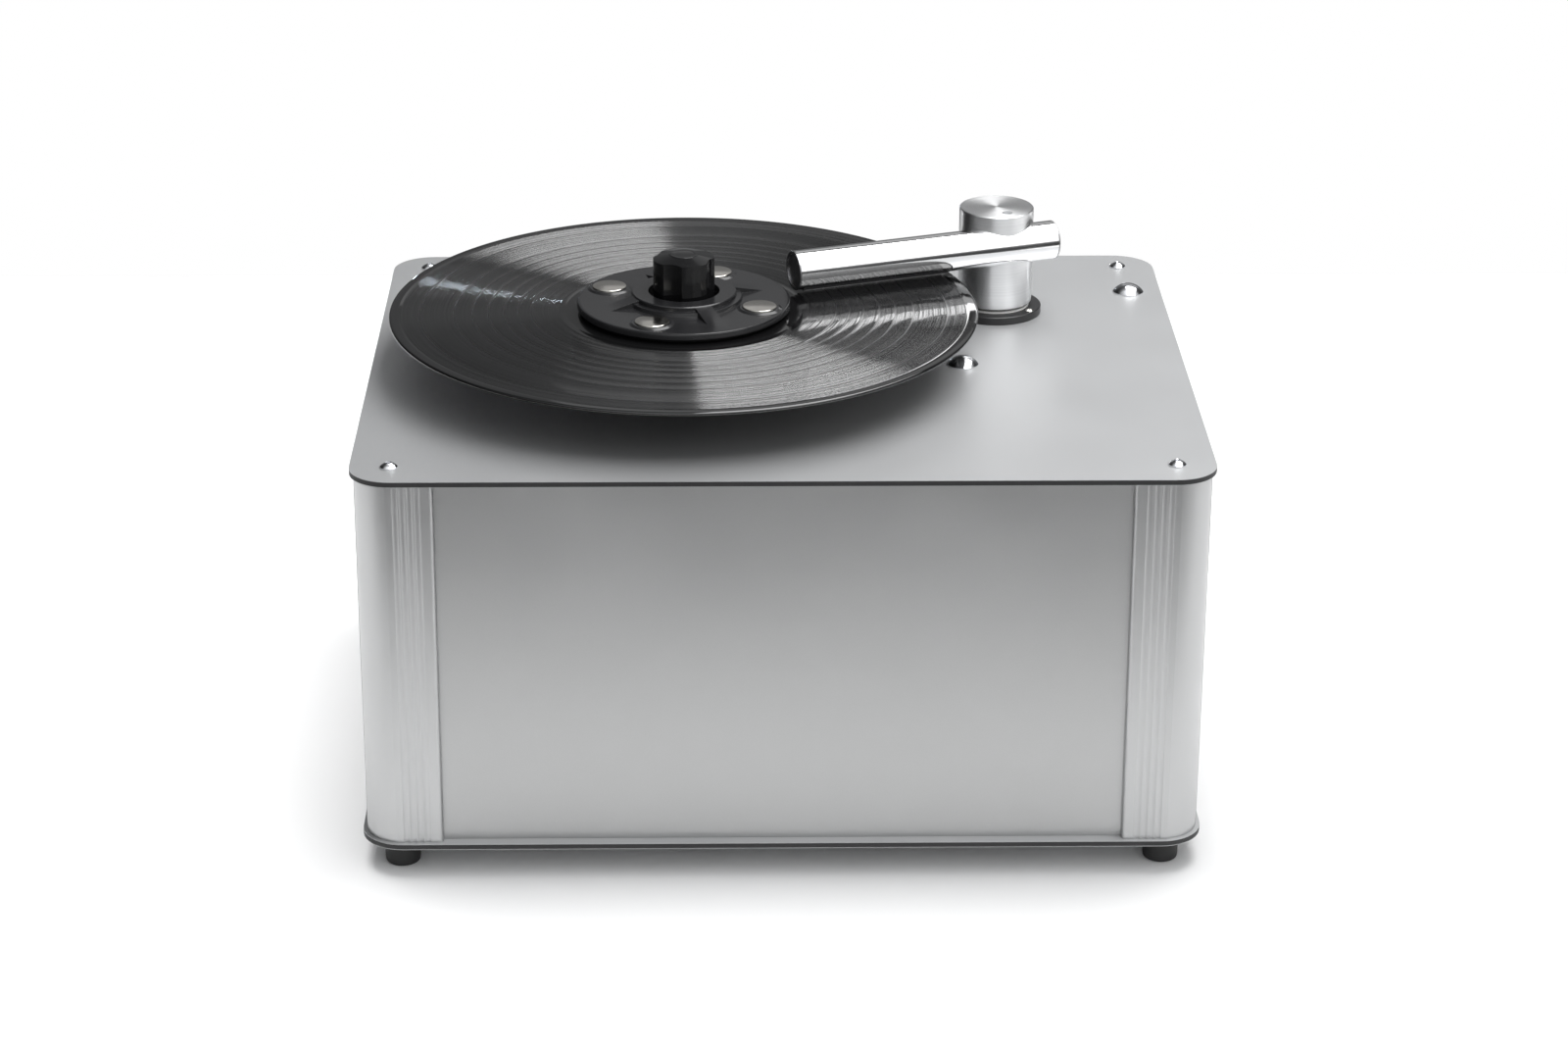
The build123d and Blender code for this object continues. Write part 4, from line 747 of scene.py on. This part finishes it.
# %% Helpers for trees
def new_tree(name, inputs):
    """A geometry tree with one output and these named inputs."""
    made = bpy.data.node_groups.new(name, "GeometryNodeTree")
    made.interface.new_socket("Geometry", in_out="OUTPUT", socket_type="NodeSocketGeometry")
    for label, kind in inputs.items():
        made.interface.new_socket(label, in_out="INPUT", socket_type="NodeSocket" + kind)
    return made, put(made, "NodeGroupInput").outputs


def end_tree(made, instances, given):
    """Realises the copies, gives them their finish and ends the tree."""
    real = result(made, "GeometryNodeRealizeInstances", {0: instances})
    painted = result(made, "GeometryNodeSetMaterial", {"Geometry": real, "Material": given["Finish"]})
    put(made, "NodeGroupOutput", {0: painted})
    return made


def grow(name, tree, values, sharp=SHARP_FROM):
    """Runs a tree with these inputs and gives its result as a plain mesh."""
    holder = bpy.data.objects.new(name + "_holder", bpy.data.meshes.new(name + "_seed"))
    scene_objects.link(holder)
    modifier = holder.modifiers.new("repeat", "NODES")
    modifier.node_group = tree
    for item in tree.interface.items_tree:
        if item.item_type == "SOCKET" and item.in_out == "INPUT":
            modifier[item.identifier] = values[item.name]
    graph = bpy.context.evaluated_depsgraph_get()
    mesh = bpy.data.meshes.new_from_object(holder.evaluated_get(graph))
    mesh.name = name
    bpy.data.objects.remove(holder)
    work = bmesh.new()
    work.from_mesh(mesh)
    bmesh.ops.remove_doubles(work, verts=work.verts, dist=MERGE)
    work.to_mesh(mesh)
    work.free()
    smooth_by_angle(mesh, sharp)
    return mesh


def copied(name, tree, mesh, finish, values):
    """Runs a tree that copies a mesh. The object that it copies is taken out again."""
    pattern = bpy.data.objects.new(name + "_pattern", mesh)
    scene_objects.link(pattern)
    pattern.hide_render = True
    made = grow(name, tree, {"Part": pattern, "Finish": finishes[finish], **values})
    bpy.data.objects.remove(pattern)
    return made


def copied_to(made, points, given, **turn):
    """In a tree: puts the part on each point."""
    part = put(made, "GeometryNodeObjectInfo", {"Object": given["Part"], "As Instance": True})
    inputs = {"Points": points, "Instance": part.outputs["Geometry"], **turn}
    return result(made, "GeometryNodeInstanceOnPoints", inputs)


def upright_turn(made, angle):
    """In a tree: a rotation about the upright axis."""
    turn = result(made, "ShaderNodeCombineXYZ", {"Z": angle})
    return result(made, "FunctionNodeEulerToRotation", {0: turn})


# %% The tree that copies a part to the four corners
def corner_tree():
    made, given = new_tree("four_corners", {
        "Part": "Object", "Half width": "Float", "Half depth": "Float", "Finish": "Material"})
    wide, deep = (calc(made, "MULTIPLY", given[half], 2.0) for half in ("Half width", "Half depth"))
    inputs = {"Size X": wide, "Size Y": deep, "Vertices X": 2, "Vertices Y": 2}
    return end_tree(made, copied_to(made, result(made, "GeometryNodeMeshGrid", inputs), given), given)


at_corners = corner_tree()


def to_corners(name, mesh, finish):
    """The mesh, modelled on the origin's axis, at the case's four corner screws."""
    return copied(name, at_corners, mesh, finish, {"Half width": CORNER_X * MM, "Half depth": CORNER_Y * MM})


# %% The tree that copies a part round a ring
def ring_tree():
    made, given = new_tree("round_a_ring", {
        "Part": "Object", "Count": "Int", "Radius": "Float", "First turn": "Float",
        "Centre": "Vector", "Finish": "Material"})
    circle = result(made, "GeometryNodeMeshCircle", {"Vertices": given["Count"], "Radius": given["Radius"]})
    share = calc(made, "DIVIDE", result(made, "GeometryNodeInputIndex"), given["Count"])
    rotation = upright_turn(made, calc(made, "MULTIPLY", share, 2 * math.pi))
    copies = copied_to(made, circle, given, Rotation=rotation)
    real = result(made, "GeometryNodeRealizeInstances", {0: copies})
    first = upright_turn(made, given["First turn"])
    inputs = {"Geometry": real, "Translation": given["Centre"], "Rotation": first}
    placed = result(made, "GeometryNodeTransform", inputs)
    return end_tree(made, placed, given)


on_ring = ring_tree()


def to_ring(name, mesh, finish, count, radius, first, centre):
    """The mesh, copied round an upright axis. The first copy is turned by first degrees."""
    return copied(name, on_ring, mesh, finish, {
        "Count": count, "Radius": radius * MM, "First turn": math.radians(first),
        "Centre": Vector((*centre, 0)) * MM})


def joined(name, *meshes):
    """One mesh from several."""
    work = bmesh.new()
    for mesh in meshes:
        work.from_mesh(mesh)
    whole = bpy.data.meshes.new(name)
    work.to_mesh(whole)
    work.free()
    smooth_by_angle(whole, SHARP_FROM)
    return whole


# %% [markdown]
# ## Screws and feet
#
# Bright button-head screws hold the plates to the posts. The lower four go up through
# rubber feet, which taper a little and are rounded where they meet the table. The two
# large domes have no socket: they are coach bolts, and the tank hangs from them.

# %% Corner screws
def dome(radius, height, level, rim=0.25, steps=7):
    """The upper outline of a button head, from its edge almost to its middle.

    rim is the share of the height that is upright.
    """
    cap = height * (1 - rim)
    ball = (radius * radius + cap * cap) / (2 * cap)
    points = [(radius, level), (radius, level + height * rim)]
    for k in range(1, steps):
        angle = math.asin(radius / ball) * (1 - k / steps)
        points.append((ball * math.sin(angle), level + height - ball + ball * math.cos(angle)))
    return points


def socket_screw(name, radius, height, level, shank, tail, socket, deep):
    """A button head with a hexagon socket, and its shank down to the level tail."""
    cap = [p for p in dome(radius, height, level) if p[0] > socket + 0.55]
    crown = level + height
    rim = [(socket + 0.45, crown - 0.12), (socket + 0.25, crown - 0.16), (socket + 0.05, crown - 0.32)]
    pit = [(socket, crown - deep), (0.0, crown - deep - 0.45)]
    outline = [(0.0, tail), (shank - 0.4, tail), (shank, tail + 0.5), (shank, level)] + cap + rim + pit
    return turned_mesh(name, outline, hexagons=(len(outline) - 3, len(outline) - 2))


FOOT_SCREW = [(0, 4.6), (1.25, 4.6), (1.25, 3.0), (4.2, 3.0), (4.4, 3.2), (4.4, 6.0),
              (2.05, 6.0), (2.05, 31.5), (1.6, 32.0), (0, 32.0)]
head = socket_screw("top_screw", radius=4.3, height=2.6, level=TOP, shank=2.05, tail=194.2,
                    socket=1.3, deep=1.7)
foot_screw = turned_mesh("foot_screw", FOOT_SCREW, hexagons=(1, 2))
screws = to_corners("corner_screws", joined("screw_pair", head, foot_screw), "zinc_screw")
add_piece("corner_screws", screws, "zinc_screw", "case", "case_screws")

# %% Feet
FOOT = [(5.0, 0.05, 0.3), (7.0, 0.0, 0.6), (8.45, 0.55, 0.9), (8.8, 2.4, 1.0), (9.0, 14.2, 0.5),
        (8.7, 15.0, 0.1), (2.9, 15.0), (2.9, 6.0), (5.0, 6.0, 0.2)]
feet = to_corners("rubber_feet", turned_mesh("foot", rounded_profile(FOOT), steps=64), "foot_rubber")
add_piece("rubber_feet", feet, "foot_rubber", "case", "feet")

# %% The two coach bolts with their nuts
BOLT_PLACES = ((94.6, -6.9), (191.3, 106.2))
BOLT_HEIGHT = 4.6
BOLT = ([(0.0, 189.6), (3.5, 189.6), (4.0, 190.1), (4.0, TOP)]
        + dome(8.25, BOLT_HEIGHT, TOP, rim=0.12, steps=14) + [(0.0, TOP + BOLT_HEIGHT)])
NUT = [(4.05, 193.5), (6.0, 193.5), (6.5, 193.9), (6.5, 199.6), (6.0, 200.0), (4.05, 200.0)]
bolts = []
for place in BOLT_PLACES:
    bolts.append(turned_mesh("coach_bolt", BOLT, place, steps=64))
    bolts.append(turned_mesh("nut", NUT, place, hexagons=(2, 3)))
add_piece("tank_bolts_bright", joined("tank_bolts_bright", *bolts), "zinc_screw", "case", "tank_bolts")
print("screws", len(screws.polygons), "faces, feet", len(feet.polygons), "faces")

# %% [markdown]
# ## The record
#
# A long-playing record is thin in the grooves and thicker at its rim and under its label,
# so that records don't scrape each other in a stack. Between songs the groove opens out,
# and each gap is a faint smooth ring. The rim, gaps and run-out are real steps in the
# profile. The grooves themselves, several to the millimetre, are left to the material.

# %% Record
THICKNESS = 2.0
GROOVED = -0.3  # the grooved face, below the rim and the label
GAP = -0.34


def record_outline():
    """The record's section, its upper half from the hole out and its lower half back in."""
    upper = [(3.66, -0.2), (49.9, -0.2), (50.0, 0.0), (52.8, 0.0), (54.2, GROOVED), (60.4, GROOVED),
             (60.7, GAP), (61.0, GROOVED), (GROOVES_FROM, GROOVED)]
    for gap in sorted(SONG_GAPS):
        upper += [(gap - 0.6, GROOVED), (gap - 0.3, GAP), (gap + 0.3, GAP), (gap + 0.6, GROOVED)]
    rim = [(-6.0, GROOVED), (-5.4, -0.24), (-4.8, -0.04), (-4.1, 0.0), (-1.4, 0.0), (-0.7, -0.08),
           (-0.2, -0.35), (0.0, -0.8)]
    upper += [(RECORD_R + r, z) for r, z in rim]
    lower = [(r, -z) for r, z in reversed(upper)]
    return raised(upper, RECORD_TOP) + raised(lower, RECORD_TOP - THICKNESS)


record_mesh = turned_mesh("record_pressed", record_outline(), SPINDLE, steps=360, sharp=50.0)
add_piece("record_pressed", record_mesh, "vinyl", "turntable", "record")
paint("label_paper", "record_labels")
paint("mat_rubber", "platter_mat")
paint("platter_alloy", "platter")
dress("spindle", "spindle_steel", bevel=0.15)

# %% [markdown]
# ## The clamp
#
# A black moulded disc presses the record on to its seal. Four small nickel magnets sit in
# raised seats, four ramps run from the hub down to the flat, and a knob with four hollows
# for the fingers screws it down.

# %% Clamp disc, seal and knob
dress("clamp_disc", "clamp_black", bevel=0.3, angle=28.0, steps=3)
dress("clamp_seal", "seal_rubber", bevel=0.15)
dress("clamp_knob", "knob_black", bevel=0.45, angle=22.0, steps=3)
CAP = [(0.0, 28.0), (7.28, 28.0), (7.28, 29.45, 0.3), (6.2, 29.5, 0.4), (5.0, 29.3, 1.0), (0.0, 29.25)]
cap_mesh = turned_mesh("knob_cap_disc", rounded_profile(raised(CAP, RECORD_TOP)), SPINDLE, steps=64)
add_piece("knob_cap_disc", cap_mesh, "knob_black", "knob", "knob_cap")

# %% Magnets
MAGNET = [(0.0, -3.1), (8.8, -3.1), (8.8, 1.5, 0.55), (0.0, 1.5)]
magnet = turned_mesh("magnet", rounded_profile(raised(MAGNET, CLAMP_FLAT)), steps=64)
magnets = to_ring("magnet_discs", magnet, "magnet_nickel", count=4, radius=41.7, first=-22.5, centre=SPINDLE)
add_piece("magnet_discs", magnets, "magnet_nickel", "clamp", "clamp_magnets")

# %% [markdown]
# ## The arm
#
# The pillar is solid aluminium on a black flange. It turns by hand, and it sinks a little
# on a spring when suction pulls the tube down to the record. The polished tube goes
# through the pillar off its centre. Under its outer half are the slot and two velvet lips.

# %% Pillar, tube and flange
FINE_EDGE = {"bevel": 0.12, "angle": 25.0}
dress("arm_pillar", "pillar_alloy", **FINE_EDGE)
dress("arm_tube", "tube_polish", **FINE_EDGE)
dress("arm_end_caps", "end_cap_alloy", **FINE_EDGE, slot="tube_polish")
dress("arm_flange", "flange_black", **FINE_EDGE)
dress("arm_set_screw", "zinc_screw", bevel=0.2)
paint("steel_screw", "arm_slide_tube")
paint("ptfe", "arm_thrust_washer")
dress("velvet_strips", "velvet")

# %% Flange screws
FLANGE_TOP = TOP + 4.25
PAN_HEIGHT = 1.3
PAN = ([(0.0, 206.0), (1.45, 206.0), (1.45, FLANGE_TOP)]
       + dome(2.2, PAN_HEIGHT, FLANGE_TOP, rim=0.2, steps=6) + [(0.0, FLANGE_TOP + PAN_HEIGHT)])
pan_screws = to_ring("flange_pan_screws", turned_mesh("pan", PAN, steps=32), "steel_screw",
                     count=3, radius=22.3, first=-37.0, centre=PILLAR)
add_piece("flange_pan_screws", pan_screws, "steel_screw", "case", "arm_flange_screws")


# %% The lifting spring, a coil grown by a tree
def coil_tree():
    made, given = new_tree("coil", {
        "Turns": "Float", "Radius": "Float", "Rise": "Float", "Wire": "Float",
        "Centre": "Vector", "Finish": "Material"})
    helix = result(made, "GeometryNodeCurveSpiral", {
        "Resolution": 40, "Rotations": given["Turns"], "Start Radius": given["Radius"],
        "End Radius": given["Radius"], "Height": given["Rise"]})
    wire = result(made, "GeometryNodeCurvePrimitiveCircle", {"Resolution": 10, "Radius": given["Wire"]})
    inputs = {"Curve": helix, "Profile Curve": wire, "Fill Caps": True}
    swept = result(made, "GeometryNodeCurveToMesh", inputs)
    placed = result(made, "GeometryNodeTransform", {"Geometry": swept, "Translation": given["Centre"]})
    return end_tree(made, placed, given)


spring = grow("lift_spring_coil", coil_tree(), {
    "Turns": 5.0, "Radius": 15.4 * MM, "Rise": 12.8 * MM, "Wire": 0.68 * MM,
    "Centre": Vector((*PILLAR, 216.95)) * MM, "Finish": finishes["spring_steel"]}, sharp=60.0)
add_piece("lift_spring_coil", spring, "spring_steel", "arm_turn", "arm_lift_spring")
arm_bodies = {o["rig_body"] for o in scene_objects if o.get("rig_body", "").startswith("arm")}
print("arm pieces ride on", sorted(arm_bodies))

# %% [markdown]
# ## The back, the side and the inside
#
# The rear panel has the mains inlet, the air outlet and the drain, and the right side has
# two rocker switches. Inside are the tank, the blower, the motor and the control board.
# They're seldom seen, but each has the finish of its real material.

# %% Switches, inlet and drain
dress("switch_frames", "switch_black", bevel=0.3)
dress("vacuum_rocker", "rocker_black", bevel=0.35)
dress("turntable_rocker", "rocker_black", bevel=0.35)
dress("mains_inlet", "inlet_black", bevel=0.3)
dress("fuse_drawer", "inlet_black", bevel=0.2)
dress("drain_pipe", "nylon", bevel=0.2)
dress("drain_plug", "flange_black", bevel=0.25)

# %% Everything inside
inside = {
    "spindle_bearing": "bearing_alloy", "bearing_bushes": "bronze", "thrust_washer": "ptfe",
    "gearbox_case": "gearbox_casting", "drive_motor": "motor_can", "output_shaft": "spindle_steel",
    "shaft_coupling": "bearing_alloy", "drive_fixings": "steel_screw", "tank_lid": "tank_poly",
    "waste_tank": "tank_poly", "standpipe": "tank_poly", "blower_housing": "blower_poly",
    "blower_motor": "motor_steel", "impeller": "fan_poly", "exhaust_duct": "duct_poly",
    "blower_mounts": "mat_rubber", "control_board": "board_green", "board_spacers": "nylon",
}
for node, finish in inside.items():
    paint(finish, node)
print(len(inside), "inner nodes painted")
